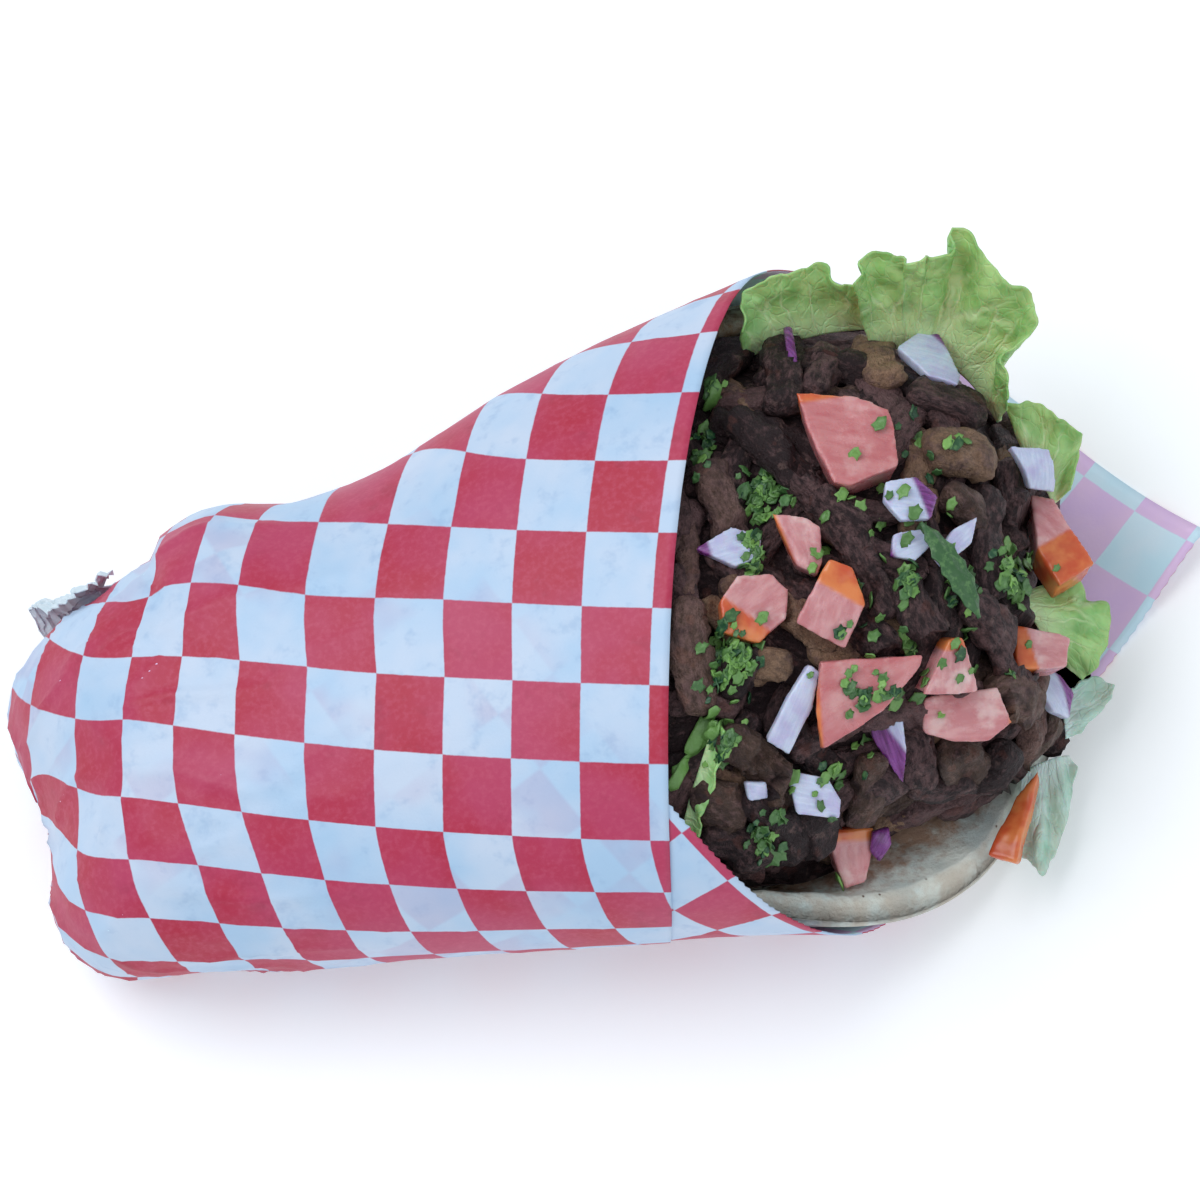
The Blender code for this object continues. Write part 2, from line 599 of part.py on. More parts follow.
def make_toppings(collection, rooms):
    """Every loose topping, and for each a slightly larger copy that clears its seat in the beef."""
    for growth, owner, end in ((0.0, collection, ""), (2.5 * GAP, rooms, "_room")):
        for number, (name, x, y, size, taper, yaw, tilt, sink) in enumerate(TOMATOES):
            bm = tomato_chunk(size, taper, number * 3.1, growth)
            chunk = object_of(bm, name + end, owner, ("tomato", TOMATO))
            chunk.matrix_world = on_heap(x, y, sink - size[2] * 0.2, yaw, tilt)
        for name, x, y, size, curl, skew, yaw, tilt, sink in ONIONS:
            petal = object_of(onion_petal(size, curl, skew, growth), name + end, owner, ("onion", ONION))
            add_thickness(petal, size[2] + growth, 0.0)
            petal.matrix_world = on_heap(x, y, sink - size[2] * 0.4, yaw, tilt)
        for row in LEAVES:
            name, bm = leaf_sheet(row, growth)
            leaf = object_of(bm, name + end, owner, ("lettuce", LETTUCE))
            add_thickness(leaf, LEAF_THICKNESS + growth, 0.0)
        for name, x, y, size, yaw, sink, arch in HERBS:
            bm = herb_sheet((size[0] + growth, size[1] + growth), arch)
            herb = object_of(bm, name + end, owner, ("herb", HERB))
            add_thickness(herb, HERB_THICKNESS + growth, 0.0)
            herb.matrix_world = on_heap(x, y, sink, yaw)


def main():
    clear_scene()
    wrap = new_collection("beef_gyro_wrap")
    rooms = new_collection("rooms", hidden=True)
    make_paper(wrap)
    make_foil(wrap)
    make_bread(wrap)
    heap = make_beef(wrap)
    make_toppings(wrap, rooms)
    make_bread(rooms, "bread_room", growth=GAP)
    make_paper(rooms, "paper_room", growth=GAP)
    join_or_cut(heap, "DIFFERENCE", rooms)
    keep_largest_body(heap)


main()
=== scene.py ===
"""Looks of the beef gyro wrap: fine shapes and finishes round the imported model.

Lengths are millimetres until a mesh is made, with +Z up and +X out of the mouth. Tables marked
"picture" hold places in the 1200 x 1200 picture, and what they place is set down on what carries it.
"""

import math
import random

import bmesh
import bpy
import numpy as np
from mathutils import Euler, Matrix, Vector, noise
from mathutils.bvhtree import BVHTree


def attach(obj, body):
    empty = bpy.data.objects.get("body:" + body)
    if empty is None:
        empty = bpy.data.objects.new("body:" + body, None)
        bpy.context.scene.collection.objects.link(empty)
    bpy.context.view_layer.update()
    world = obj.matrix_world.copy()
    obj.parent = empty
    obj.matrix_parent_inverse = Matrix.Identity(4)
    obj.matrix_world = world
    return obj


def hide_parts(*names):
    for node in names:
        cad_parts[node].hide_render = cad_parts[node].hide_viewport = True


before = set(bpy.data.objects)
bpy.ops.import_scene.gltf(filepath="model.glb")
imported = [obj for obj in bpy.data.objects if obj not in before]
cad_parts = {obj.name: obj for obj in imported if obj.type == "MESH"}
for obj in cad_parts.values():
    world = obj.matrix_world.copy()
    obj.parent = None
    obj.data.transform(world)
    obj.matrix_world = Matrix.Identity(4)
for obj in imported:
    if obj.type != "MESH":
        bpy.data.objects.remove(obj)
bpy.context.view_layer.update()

MM = 0.001

# The roll, its sheet and its bread: the same values as in the model's source.
APEX_X = -340.0
HALF_WIDTH, HALF_HEIGHT, BELLY, SECTION_POWER = 0.169, 0.100, 0.106, 2.3
TAIL_START, TAIL_END, TAIL_DROOP, TAIL_SKEW, TAIL_SLIMMER = 251.0, 222.5, 0.40, 4.5, 0.22
WAIST_X, WAIST_LENGTH, WAIST = -44.0, 30.0, 7.5
FLARE_START, FLARE_END, FLARE = 345.0, 400.0, 0.42
CORNER = (455.0, 10.0)
EDGE_PULL = 6.5
FAR_EDGE_ANGLE, NEAR_EDGE_ANGLE = math.radians(132.5), math.radians(222.5)
LIFT_OF_CORNER = 9.0
BREAD_CENTRE, BREAD_RADIUS, BREAD_TURN = 336.0, 88.5, math.radians(1.0)
BREAD_THICKNESS, BREAD_INSET, HEAP_INSET = 6.0, 1.6, 9.2
HEAP_TOP, HEAP_FOOT, HEAP_START, HEAP_LENGTH = 62.0, 8.0, 10.0, 79.0
HEAP_FAR_WIDTH, HEAP_NEAR_WIDTH, MOUTH_EXTRA_WIDTH = 60.0, 44.0, 8.0
MOUTH_EXTRA_HEIGHT, FRONT_PULL, ROOF_INSET, STEEPEST = 4.0, 9.0, 5.0, 0.75

# The power by which the tail's width rounds off. Points in the table of the roll's section, points in
# half a section, and the part of the table from the underside to the side.
TAIL_POWER = 3.5
SECTION_SAMPLES, PROFILE_SAMPLES = 1441, 41
LOWER_QUARTER = slice(SECTION_SAMPLES // 2, SECTION_SAMPLES * 3 // 4 + 1)

# The sheet's own sizes here: its two layers lie one over the other where they overlap.
SHEET_THICKNESS = 0.24
OUTER_LAYER, UNDER_LAYER = 0.14, 0.58
CHECK = 12.7
CHECK_START_P, CHECK_START_Q = 2.0, 3.5
# Folds that run to the twist, the step at the shoulder, and how far the tail's near corner stands out.
SPOKES, SHOULDER_STEP, TAIL_CORNER = 13, 2.6, 3.5
# Columns of the mesh on each side of its front corner, its rows, the share of them at the tail, and the
# depth of the teeth that the cutter left on one edge.
NEAR_COLUMNS, FAR_COLUMNS, PAPER_ROWS, TAIL_ROWS_SHARE, TEETH = 230, 190, 94, 0.26, 0.45
# How far the near end reaches past the far side's edge, and the far end stops short of a full turn.
UNDER_THE_ROLL = math.radians(7.0), math.radians(6.0)
# A place off the print, for where no second layer lies under the first.
ONE_LAYER = (-50.0, 0.0, 0.0)
# How the print runs over the top, counted in checks: stretched there, and pulled askew at the tail.
TOP_FROM, TOP_TO, TOP_STRETCH, SIDE_SQUEEZE = 10.45, 19.25, 0.85, 1.14
# Then how its rows bend towards the tail, and where and by how much it is slack at the waist.
ROW_BEND, TAIL_BEND, TAIL_BEND_FROM = 0.0062, 0.35, 8.4
WAIST_ROW, WAIST_COLUMN, WAIST_SLACK = 15.3, 5.3, 0.51

# The picture's view: 70 degrees down, turned by 11.4 degrees.
VIEW_DOWN = math.radians(70.0)
VIEW_ROLL = math.radians(11.4)
# Pixels a millimetre, how far left of the picture the cone's tip would lie, and the row it would lie in.
PER_MM, TIP_LEFT, GROUND_LINE = 5.28, 1130, 1063
TO_CAMERA = Vector((0.0, -math.cos(VIEW_DOWN), math.sin(VIEW_DOWN)))


def smooth(low, high, value):
    """0 at low and 1 at high, which may be the smaller of the two."""
    t = np.clip((np.asarray(value, float) - low) / (high - low), 0.0, 1.0)
    return t * t * (3 - 2 * t)


def wave(points, size, seed=0.0):
    """Smooth noise from about -1 to 1 at each point, with features of that size."""
    flat = np.asarray(points, float).reshape(-1, 3) / size + seed
    values = [noise.noise(Vector(p)) for p in flat]
    return np.array(values).reshape(np.shape(points)[:-1])


def packed(x, y, z):
    """Points from their coordinates, each a number or a grid."""
    return np.stack(np.broadcast_arrays(x, y, z), -1)


def moved(points, matrix):
    matrix = np.array(matrix)
    return points @ matrix[:3, :3].T + matrix[:3, 3]


# The rolled shape

def section_table():
    """Angle in the unrolled sheet, sideways place and height along the unit section, from top to top."""
    t = np.radians(np.linspace(-270.0, 90.0, SECTION_SAMPLES))
    power = 2 / SECTION_POWER
    side = HALF_WIDTH * np.sign(np.cos(t)) * np.abs(np.cos(t)) ** power
    reach = np.where(np.sin(t) < 0, BELLY, HALF_HEIGHT)
    height = HALF_HEIGHT + reach * np.sign(np.sin(t)) * np.abs(np.sin(t)) ** power
    height = np.maximum(height, 0.0)
    angle = np.concatenate([[0.0], np.cumsum(np.hypot(np.diff(side), np.diff(height)))])
    return angle - angle[SECTION_SAMPLES // 2], side, height


SECTION_ANGLE, SECTION_SIDE, SECTION_HEIGHT = section_table()
HALF_TURN = float(SECTION_ANGLE[-1])
FULL_TURN = 2 * HALF_TURN


def rolled(distance, angle, inset=0.0):
    """Points of the roll at distances from the cone's tip and angles round it, moved inwards by inset."""
    distance, angle, inset = np.broadcast_arrays(*(np.asarray(v, float) for v in (distance, angle, inset)))
    angle = (angle + HALF_TURN) % FULL_TURN - HALF_TURN
    side = np.interp(angle, SECTION_ANGLE, SECTION_SIDE)
    height = np.interp(angle, SECTION_ANGLE, SECTION_HEIGHT)
    tuck = np.clip((TAIL_START - distance) / (TAIL_START - TAIL_END - inset), 0.0, 1.0)
    wide = (1 - tuck**TAIL_POWER) ** (1 / TAIL_POWER)
    tall = (1 - tuck**2) ** 0.5
    middle = HALF_HEIGHT * distance * (1 - TAIL_DROOP * tuck**2)
    y = side * (distance - inset / HALF_WIDTH) * wide
    z = middle + (height - HALF_HEIGHT) * (distance - inset / HALF_HEIGHT) * tall
    opened = smooth(FLARE_START, FLARE_END, distance) * smooth(0.0, 30.0, -y)
    z = np.maximum(inset, inset + (z - inset) * (1 - FLARE * opened))
    y = y * (1 - 0.02 * opened)
    x = APEX_X + distance + TAIL_SKEW * tuck * (1 - smooth(-8.0, 22.0, y))
    slimmer = TAIL_SLIMMER * y * smooth(68.0, 99.0, -x)
    slimmer += WAIST * smooth(0.0, 40.0, y) * np.exp(-(((x - WAIST_X) / WAIST_LENGTH) ** 2))
    return packed(x, y - np.where(y > 0, slimmer, 0.0), z)


def profile(x, inset, upper):
    """Sideways places, rising, and heights of the lower or upper half of the roll's section at x."""
    quarter = np.interp(HALF_WIDTH, SECTION_SIDE[LOWER_QUARTER], SECTION_ANGLE[LOWER_QUARTER])
    angles = np.linspace(FULL_TURN - quarter if upper else -quarter, quarter, PROFILE_SAMPLES)
    points = rolled(x - APEX_X, angles, inset)
    return points[:, 1], points[:, 2]


def edge_pull(angle):
    """How far the far side of the sheet was pulled back along the roll."""
    turn = np.degrees(np.abs(angle))
    pulled = EDGE_PULL * smooth(4.0, 15.0, turn) * (1 - 0.4 * smooth(16.0, 32.0, turn))
    return np.where(angle > 0, pulled, 0.0)


def sheet_edge(angle):
    """Distance from the cone's tip to the edge of the paper at angles round the roll."""
    angle = np.asarray(angle, float)
    reach = np.full(angle.shape, 1e6)
    for edge_angle in (NEAR_EDGE_ANGLE, FAR_EDGE_ANGLE):
        slope = np.cos(edge_angle - angle)
        corner = math.cos(edge_angle) * CORNER[0] + math.sin(edge_angle) * CORNER[1]
        reach = np.where(slope < -1e-6, np.minimum(reach, corner / np.minimum(slope, -1e-6)), reach)
    return reach - edge_pull(angle)


def overlap_angle():
    """Where the far side of the sheet, folded over, and the near side under it have the same edge."""
    low, high = 0.0, FULL_TURN
    for _ in range(50):
        middle = (low + high) / 2
        if sheet_edge(middle) > sheet_edge(middle - FULL_TURN):
            low = middle
        else:
            high = middle
    return high


# The heap

def heap_half_width(x, y):
    along = min(max((x - 5.0) / 88.0, 0.0), 1.0)
    near = HEAP_NEAR_WIDTH + MOUTH_EXTRA_WIDTH * float(smooth(45.0, 10.0, x))
    width = near + (HEAP_FAR_WIDTH - near) * float(smooth(-15.0, 15.0, y))
    return width * max(1 - along**3.1, 1e-4) ** 0.5


def heap_height(x, y):
    """Top of the filling: under the roll where paper covers it, its near front pulled back."""
    pulled = FRONT_PULL * float(smooth(22.0, 2.0, y) * smooth(60.0, 78.0, x))
    along = min(max((x + pulled - HEAP_START) / HEAP_LENGTH, 0.0), 1.0)
    top = HEAP_TOP + MOUTH_EXTRA_HEIGHT * float(smooth(26.0, 10.0, x))
    crown = HEAP_FOOT + (top - HEAP_FOOT) * (1 - along**4.5) ** 0.5
    across = min(abs(y) / heap_half_width(x, y), 1.0)
    foot = min(12.0, crown)
    z = foot + (crown - foot) * (1 - across ** (3.1 if y > 0 else 2.6)) ** 0.5
    if x < 30.0:
        places, heights = profile(x, ROOF_INSET, upper=True)
        z = min(z, float(np.interp(y, places, heights)))
    return z


def heap_normal(x, y, step=1.5):
    """Upright of what lies there: it never leans more than STEEPEST."""
    slope_x = (heap_height(x + step, y) - heap_height(x - step, y)) / (2 * step)
    slope_y = (heap_height(x, y + step) - heap_height(x, y - step)) / (2 * step)
    share = min(1.0, STEEPEST / max(math.hypot(slope_x, slope_y), 1e-6))
    return Vector((-slope_x * share, -slope_y * share, 1.0)).normalized()


def on_heap(x, y, sink, yaw, tilt=(0.0, 0.0)):
    """Where a topping lies: flat on the heap, sunk into it, then turned and tilted in degrees."""
    normal = heap_normal(x, y)
    place = Vector((x, y, heap_height(x, y))) - normal * sink
    upright = Vector((0, 0, 1)).rotation_difference(normal).to_matrix().to_4x4()
    turned = Euler([math.radians(a) for a in (*tilt, yaw)], "XYZ").to_matrix().to_4x4()
    return Matrix.Translation(place) @ upright @ turned


# From the picture to the wrap

def sight(px, py):
    """x, and height across the view, of a place in the picture."""
    right, up = (px + TIP_LEFT) / PER_MM, (GROUND_LINE - py) / PER_MM
    x = right * math.cos(VIEW_ROLL) + up * math.sin(VIEW_ROLL) + APEX_X
    return x, up * math.cos(VIEW_ROLL) - right * math.sin(VIEW_ROLL)


def rise_of(point):
    """Height across the view of a point of the wrap."""
    return point[1] * math.sin(VIEW_DOWN) + point[2] * math.cos(VIEW_DOWN)


def in_plane(matrix, x, rise):
    """The step in a matrix's own plane that the view shows as x along the wrap and rise across it."""
    across, along = matrix.to_3x3().col[0], matrix.to_3x3().col[1]
    sums = np.array([[across.x, along.x], [rise_of(across), rise_of(along)]])
    return np.linalg.solve(sums, [x, rise])


def on_plane(matrix, height, px, py):
    """Place in the plane z = height of a matrix that the picture shows at px, py."""
    x, rise = sight(px, py)
    start = matrix @ Vector((0, 0, height))
    return in_plane(matrix, x - start.x, rise - rise_of(start))


# Finishes

def paint(red, green, blue):
    """A colour as the eye reads it, 0 to 255, as the shader takes it."""
    values = [v / 255 for v in (red, green, blue)]
    return (*(v / 12.92 if v <= 0.04045 else ((v + 0.055) / 1.055) ** 2.4 for v in values), 1.0)


class Amount:
    """A number or colour that varies over a surface. Python sums on it add Math nodes."""

    def __init__(self, finish, socket):
        self.finish, self.socket = finish, socket

    def math(self, operation, *values):
        return self.finish.node("ShaderNodeMath", {"operation": operation}, dict(enumerate(values)))

    def __add__(self, other):
        return self.math("ADD", self, other)

    def __sub__(self, other):
        return self.math("SUBTRACT", self, other)

    def __rsub__(self, other):
        return self.math("SUBTRACT", other, self)

    def __mul__(self, other):
        return self.math("MULTIPLY", self, other)

    __radd__, __rmul__ = __add__, __mul__


class Finish:
    """One material, with a Principled shader and the nodes that feed it."""

    def __init__(self, name, **constants):
        self.material = bpy.data.materials.new(name)
        self.material.use_nodes = True
        self.tree = self.material.node_tree
        self.shader = self.tree.nodes["Principled BSDF"]
        for key, value in constants.items():
            self.shader.inputs[key.replace("_", " ")].default_value = value
        place = self.node("ShaderNodeTexCoord", out="Object")
        sockets = {"Vector": place, "Scale": 1 / MM}
        self.place = self.node("ShaderNodeVectorMath", {"operation": "SCALE"}, sockets)

    def node(self, kind, settings=None, sockets=None, out=0):
        """A node of that kind: its settings are set first, then the values or links of its sockets."""
        made = self.tree.nodes.new(kind)
        for key, value in (settings or {}).items():
            setattr(made, key, value)
        for key, value in (sockets or {}).items():
            self.put(made.inputs[key], value)
        return Amount(self, made.outputs[out])

    def put(self, socket, value):
        if isinstance(value, Amount):
            self.tree.links.new(value.socket, socket)
        else:
            socket.default_value = value

    def feed(self, **sockets):
        """Links or sets sockets of the shader."""
        for key, value in sockets.items():
            self.put(self.shader.inputs[key.replace("_", " ")], value)

    def number(self, name):
        return self.node("ShaderNodeAttribute", {"attribute_name": name}, out="Fac")

    def vector(self, name):
        return self.node("ShaderNodeAttribute", {"attribute_name": name}, out="Vector")

    def axis(self, vector, index):
        return self.node("ShaderNodeSeparateXYZ", {}, {0: vector}, out=index)

    def stretched(self, vector, scale):
        return self.node("ShaderNodeVectorMath", {"operation": "MULTIPLY"}, {0: vector, 1: scale})

    def sine(self, value):
        return self.node("ShaderNodeMath", {"operation": "SINE"}, {0: value})

    def step(self, value, low, high):
        """0 below low and 1 above high, with a soft step between them."""
        sockets = {0: value, 1: low, 2: high}
        return self.node("ShaderNodeMapRange", {"interpolation_type": "SMOOTHSTEP"}, sockets)

    def cloud(self, size, at=None, detail=3.0, rough=0.55):
        """Noise from 0 to 1 with features of that many millimetres."""
        sockets = {"Vector": self.place if at is None else at, "Scale": 1 / size}
        return self.node("ShaderNodeTexNoise", {}, sockets | {"Detail": detail, "Roughness": rough})

    def cells(self, size, at=None, feature="DISTANCE_TO_EDGE"):
        sockets = {"Vector": self.place if at is None else at, "Scale": 1 / size}
        return self.node("ShaderNodeTexVoronoi", {"feature": feature}, sockets, out="Distance")

    def mix(self, share, first, second):
        """Between two colours, each given as the eye reads it or as an amount."""
        first, second = (c if isinstance(c, Amount) else paint(*c) for c in (first, second))
        return self.node("ShaderNodeMix", {"data_type": "RGBA"}, {0: share, 6: first, 7: second}, out=2)

    def blend(self, value, low, high, first, second, share=None):
        """From the first colour to the second as value goes from low to high, by at most that share."""
        step = self.step(value, low, high)
        return self.mix(step if share is None else step * share, first, second)

    def relief(self, height, depth, strength=1.0):
        """Bump of that depth in millimetres where height goes from 0 to 1."""
        sockets = {"Strength": strength, "Distance": depth * MM, "Height": height}
        self.feed(Normal=self.node("ShaderNodeBump", {}, sockets))


def checks(finish, name, blur=0.035):
    """1 on the red squares of the print and 0 between them, from places counted in checks."""
    flat = finish.vector(name)
    bleed = (finish.cloud(1.4) - 0.5) * 0.05
    waves = (finish.sine(finish.axis(flat, axis) * math.pi) + bleed for axis in (0, 1))
    across, along = (finish.step(value, -blur, blur) for value in waves)
    return across + along - across * along * 2


def crinkled(finish):
    """The fine bumps of waxed paper, which end both of its finishes."""
    finish.relief(finish.cloud(0.5, detail=5.0) * 0.3 + finish.cloud(5.0, detail=4.0), 0.22, 0.5)
    return finish.material


def printed_paper():
    finish = Finish("waxed_paper_outside", Specular_IOR_Level=0.42)
    red = checks(finish, "print")
    shown = finish.step(finish.cloud(30.0), 0.47, 0.62)
    two_layers = finish.step(finish.axis(finish.vector("under"), 0), -0.5, 0.5)
    under = checks(finish, "under", 0.12) * two_layers
    patches, specks = finish.cloud(22.0), finish.cloud(1.1, detail=4.0)
    pale = finish.blend(patches, 0.3, 0.7, (172, 202, 230), (200, 213, 232))
    pale = finish.blend(finish.cloud(5.0, rough=0.65), 0.52, 0.75, pale, (140, 172, 208), 0.4)
    pale = finish.mix(under * shown * 0.22, pale, (176, 120, 165))
    ink = finish.blend(finish.cloud(34.0), 0.38, 0.62, (178, 34, 62), (184, 60, 96))
    ink = finish.blend(specks, 0.4, 0.75, ink, (200, 88, 116), 0.35)
    ink = finish.blend(finish.cloud(9.0, rough=0.7), 0.55, 0.8, ink, (138, 24, 52), 0.4)
    rough = finish.step(patches, 0.0, 1.0) * 0.16 + 0.40
    finish.feed(Base_Color=finish.mix(red, pale, ink), Roughness=rough)
    return crinkled(finish)


def plain_paper():
    """The side without print, where the squares show through."""
    finish = Finish("waxed_paper_inside", Specular_IOR_Level=0.35)
    red = checks(finish, "print")
    pale = finish.blend(finish.cloud(16.0), 0.3, 0.7, (206, 238, 252), (222, 240, 252))
    shown = finish.blend(finish.cloud(9.0), 0.3, 0.7, (230, 196, 238), (236, 202, 236))
    finish.feed(Base_Color=finish.mix(red, pale, shown), Roughness=finish.cloud(14.0) * 0.2 + 0.42)
    return crinkled(finish)


def beef_finish():
    finish = Finish("seared_beef", Specular_IOR_Level=0.34)
    grain = finish.vector("grain")
    fibre = finish.cloud(1.3, finish.stretched(grain, (0.5, 1.0, 1.0)), detail=4.0, rough=0.7)
    blotch = finish.cloud(5.5, grain)
    tone, tan = finish.number("tone"), finish.number("tan")
    meat = finish.blend(fibre + (tone - 0.5) * 0.4, 0.36, 0.66, (40, 25, 27), (108, 80, 80))
    meat = finish.blend(blotch, 0.54, 0.70, meat, (28, 17, 20), 0.6)
    meat = finish.blend(finish.cloud(2.2, grain), 0.58, 0.70, meat, (132, 104, 98), 0.45)
    meat = finish.blend(finish.cloud(4.0, grain, detail=1.0), 0.62, 0.70, meat, (108, 60, 50), 0.35)
    nugget = finish.mix(fibre, (120, 86, 62), (184, 150, 122))
    meat = finish.blend(blotch + (fibre - 0.5) * 0.5, 0.76, 0.40, meat, nugget, tan)
    crust = finish.cloud(0.9, grain, detail=4.0, rough=0.75)
    meat = finish.blend(crust, 0.42, 0.62, meat, (34, 21, 24), 0.35)
    finish.feed(Base_Color=meat, Roughness=finish.step(blotch, 0.3, 0.7) * 0.28 + 0.36)
    pits = finish.cloud(0.5, grain, rough=0.7)
    finish.relief(fibre * 0.6 + pits * 0.4, 1.8)
    return finish.material


def tomato_finish():
    finish = Finish("ripe_tomato", Specular_IOR_Level=0.55, Subsurface_Weight=0.18, Subsurface_Scale=0.004)
    skin, grain, tone = finish.number("skin"), finish.vector("grain"), finish.number("tone")
    veins = finish.cloud(2.4, finish.stretched(grain, (0.35, 1.2, 1.0)), detail=4.0)
    flesh = finish.blend(veins, 0.30, 0.72, (192, 120, 124), (214, 160, 160))
    flesh = finish.blend(finish.cloud(5.0, grain), 0.50, 0.72, flesh, (226, 194, 190), 0.8)
    flesh = finish.mix(tone, flesh, (184, 76, 78))
    rind = finish.blend(finish.cloud(6.0), 0.35, 0.65, (200, 84, 48), (220, 128, 72))
    flesh = finish.blend(finish.cells(0.9, grain, "F1"), 0.12, 0.04, flesh, (236, 205, 190), 0.25)
    rough = finish.cloud(3.0, grain) * 0.16 + 0.2 - skin * 0.04
    finish.feed(Base_Color=finish.mix(skin, flesh, rind), Roughness=rough)
    finish.relief((1 - skin) * (veins * 0.6 + finish.cloud(0.6, grain) * 0.4), 0.3, 0.55)
    return finish.material


def onion_finish():
    finish = Finish("red_onion", Specular_IOR_Level=0.55, Subsurface_Weight=0.2, Subsurface_Scale=0.003)
    skin, grain = finish.number("skin"), finish.vector("grain")
    lines = finish.cloud(0.8, finish.stretched(grain, (0.12, 1.3, 1.0)))
    flesh = finish.blend(lines, 0.25, 0.75, (188, 196, 222), (208, 216, 236))
    flesh = finish.blend(finish.cloud(4.0, grain), 0.42, 0.7, flesh, (166, 146, 200), 0.45)
    rind = finish.blend(lines, 0.3, 0.7, (92, 30, 96), (140, 74, 150))
    finish.feed(Base_Color=finish.mix(skin, flesh, rind), Roughness=finish.cloud(2.0, grain) * 0.14 + 0.2)
    finish.relief(lines * 0.5 + finish.cloud(1.5, grain) * 0.5, 0.16, 0.5)
    return finish.material


def lettuce_finish(name, young, old, rib):
    """Leaf green from foot to rim, with pale veins. leaf holds the place in the leaf in millimetres."""
    finish = Finish(name, Specular_IOR_Level=0.5, Subsurface_Weight=0.22, Subsurface_Scale=0.003)
    leaf, rim = finish.vector("leaf"), finish.number("rim")
    sway = finish.node("ShaderNodeTexNoise", {}, {"Vector": leaf, "Scale": 0.16}, out="Color")
    sockets = {0: leaf, 1: finish.stretched(sway, (6.0, 5.0, 0.0))}
    bent = finish.node("ShaderNodeVectorMath", {"operation": "ADD"}, sockets)
    fine = finish.step(finish.cells(2.4, bent), 0.12, 0.0)
    large = finish.step(finish.cells(11.0, finish.stretched(bent, (1.5, 0.55, 1.0))), 0.07, 0.0)
    tint = finish.blend(finish.cloud(7.0, leaf), 0.32, 0.68, young, old)
    tint = finish.blend(rim, 0.62, 0.05, tint, rib, 0.7)
    tint = finish.mix(fine * 0.12, tint, rib)
    tint = finish.blend(rim, 0.95, 0.5, tint, rib, large * 0.6)
    finish.feed(Base_Color=tint, Roughness=finish.cloud(4.0, leaf) * 0.2 + 0.3)
    finish.relief(finish.cloud(2.6, leaf) * 0.6 + (1 - fine) * 0.18 + (1 - large) * 0.3, 0.7, 0.7)
    return finish.material


def herb_finish():
    finish = Finish("parsley", Specular_IOR_Level=0.5)
    tone, grain = finish.number("tone"), finish.vector("grain")
    green = finish.mix(tone, (26, 72, 44), (128, 176, 88))
    green = finish.blend(finish.cloud(1.1, grain), 0.45, 0.7, green, (132, 176, 108), 0.3)
    finish.feed(Base_Color=green, Roughness=finish.cloud(1.5, grain) * 0.2 + 0.28)
    finish.relief(finish.cloud(0.7, grain), 0.3, 0.6)
    return finish.material


def bread_finish():
    finish = Finish("griddled_pita", Specular_IOR_Level=0.3)
    bubble, rim, stain = finish.number("bubble"), finish.number("rim"), finish.number("stain")
    crumb = finish.blend(finish.cloud(12.0), 0.35, 0.65, (206, 220, 216), (224, 228, 218))
    crumb = finish.blend(finish.cloud(2.0, detail=5.0), 0.5, 0.8, crumb, (232, 236, 230), 0.4)
    toast = finish.step(bubble + (finish.cloud(1.6, detail=5.0) - 0.5) * 0.7, 0.52, 0.85)
    crumb = finish.mix(toast * 0.8, crumb, (166, 120, 74))
    crumb = finish.blend(toast + (finish.cloud(2.5) - 0.5) * 0.6, 0.95, 1.2, crumb, (96, 60, 36), 0.8)
    crumb = finish.blend(finish.cloud(5.0, detail=5.0), 0.30, 0.60, crumb, (176, 140, 108), rim * 0.45)
    specks = finish.cells(4.2, feature="F1")
    crumb = finish.blend(specks, 0.09, 0.04, crumb, (92, 58, 38), rim + 0.25)
    juice = finish.step(stain + (finish.cloud(3.5, detail=5.0, rough=0.65) - 0.5) * 1.1, 0.45, 0.9)
    crumb = finish.mix(juice * 0.8, crumb, (152, 98, 60))
    finish.feed(Base_Color=crumb, Roughness=0.72 - juice * 0.25)
    finish.relief(finish.cloud(1.2, detail=6.0, rough=0.65) + finish.cloud(6.0) * 0.8, 0.7, 0.7)
    return finish.material


def foil_finish():
    finish = Finish("crumpled_foil", Metallic=0.12, Specular_IOR_Level=0.6)
    shine = finish.mix(finish.cloud(5.0), (196, 216, 226), (226, 236, 242))
    finish.feed(Base_Color=shine, Roughness=finish.cloud(3.0) * 0.2 + 0.3)
    finish.relief(finish.cells(2.4, feature="F1"), 0.5, 0.8)
    return finish.material


# Meshes

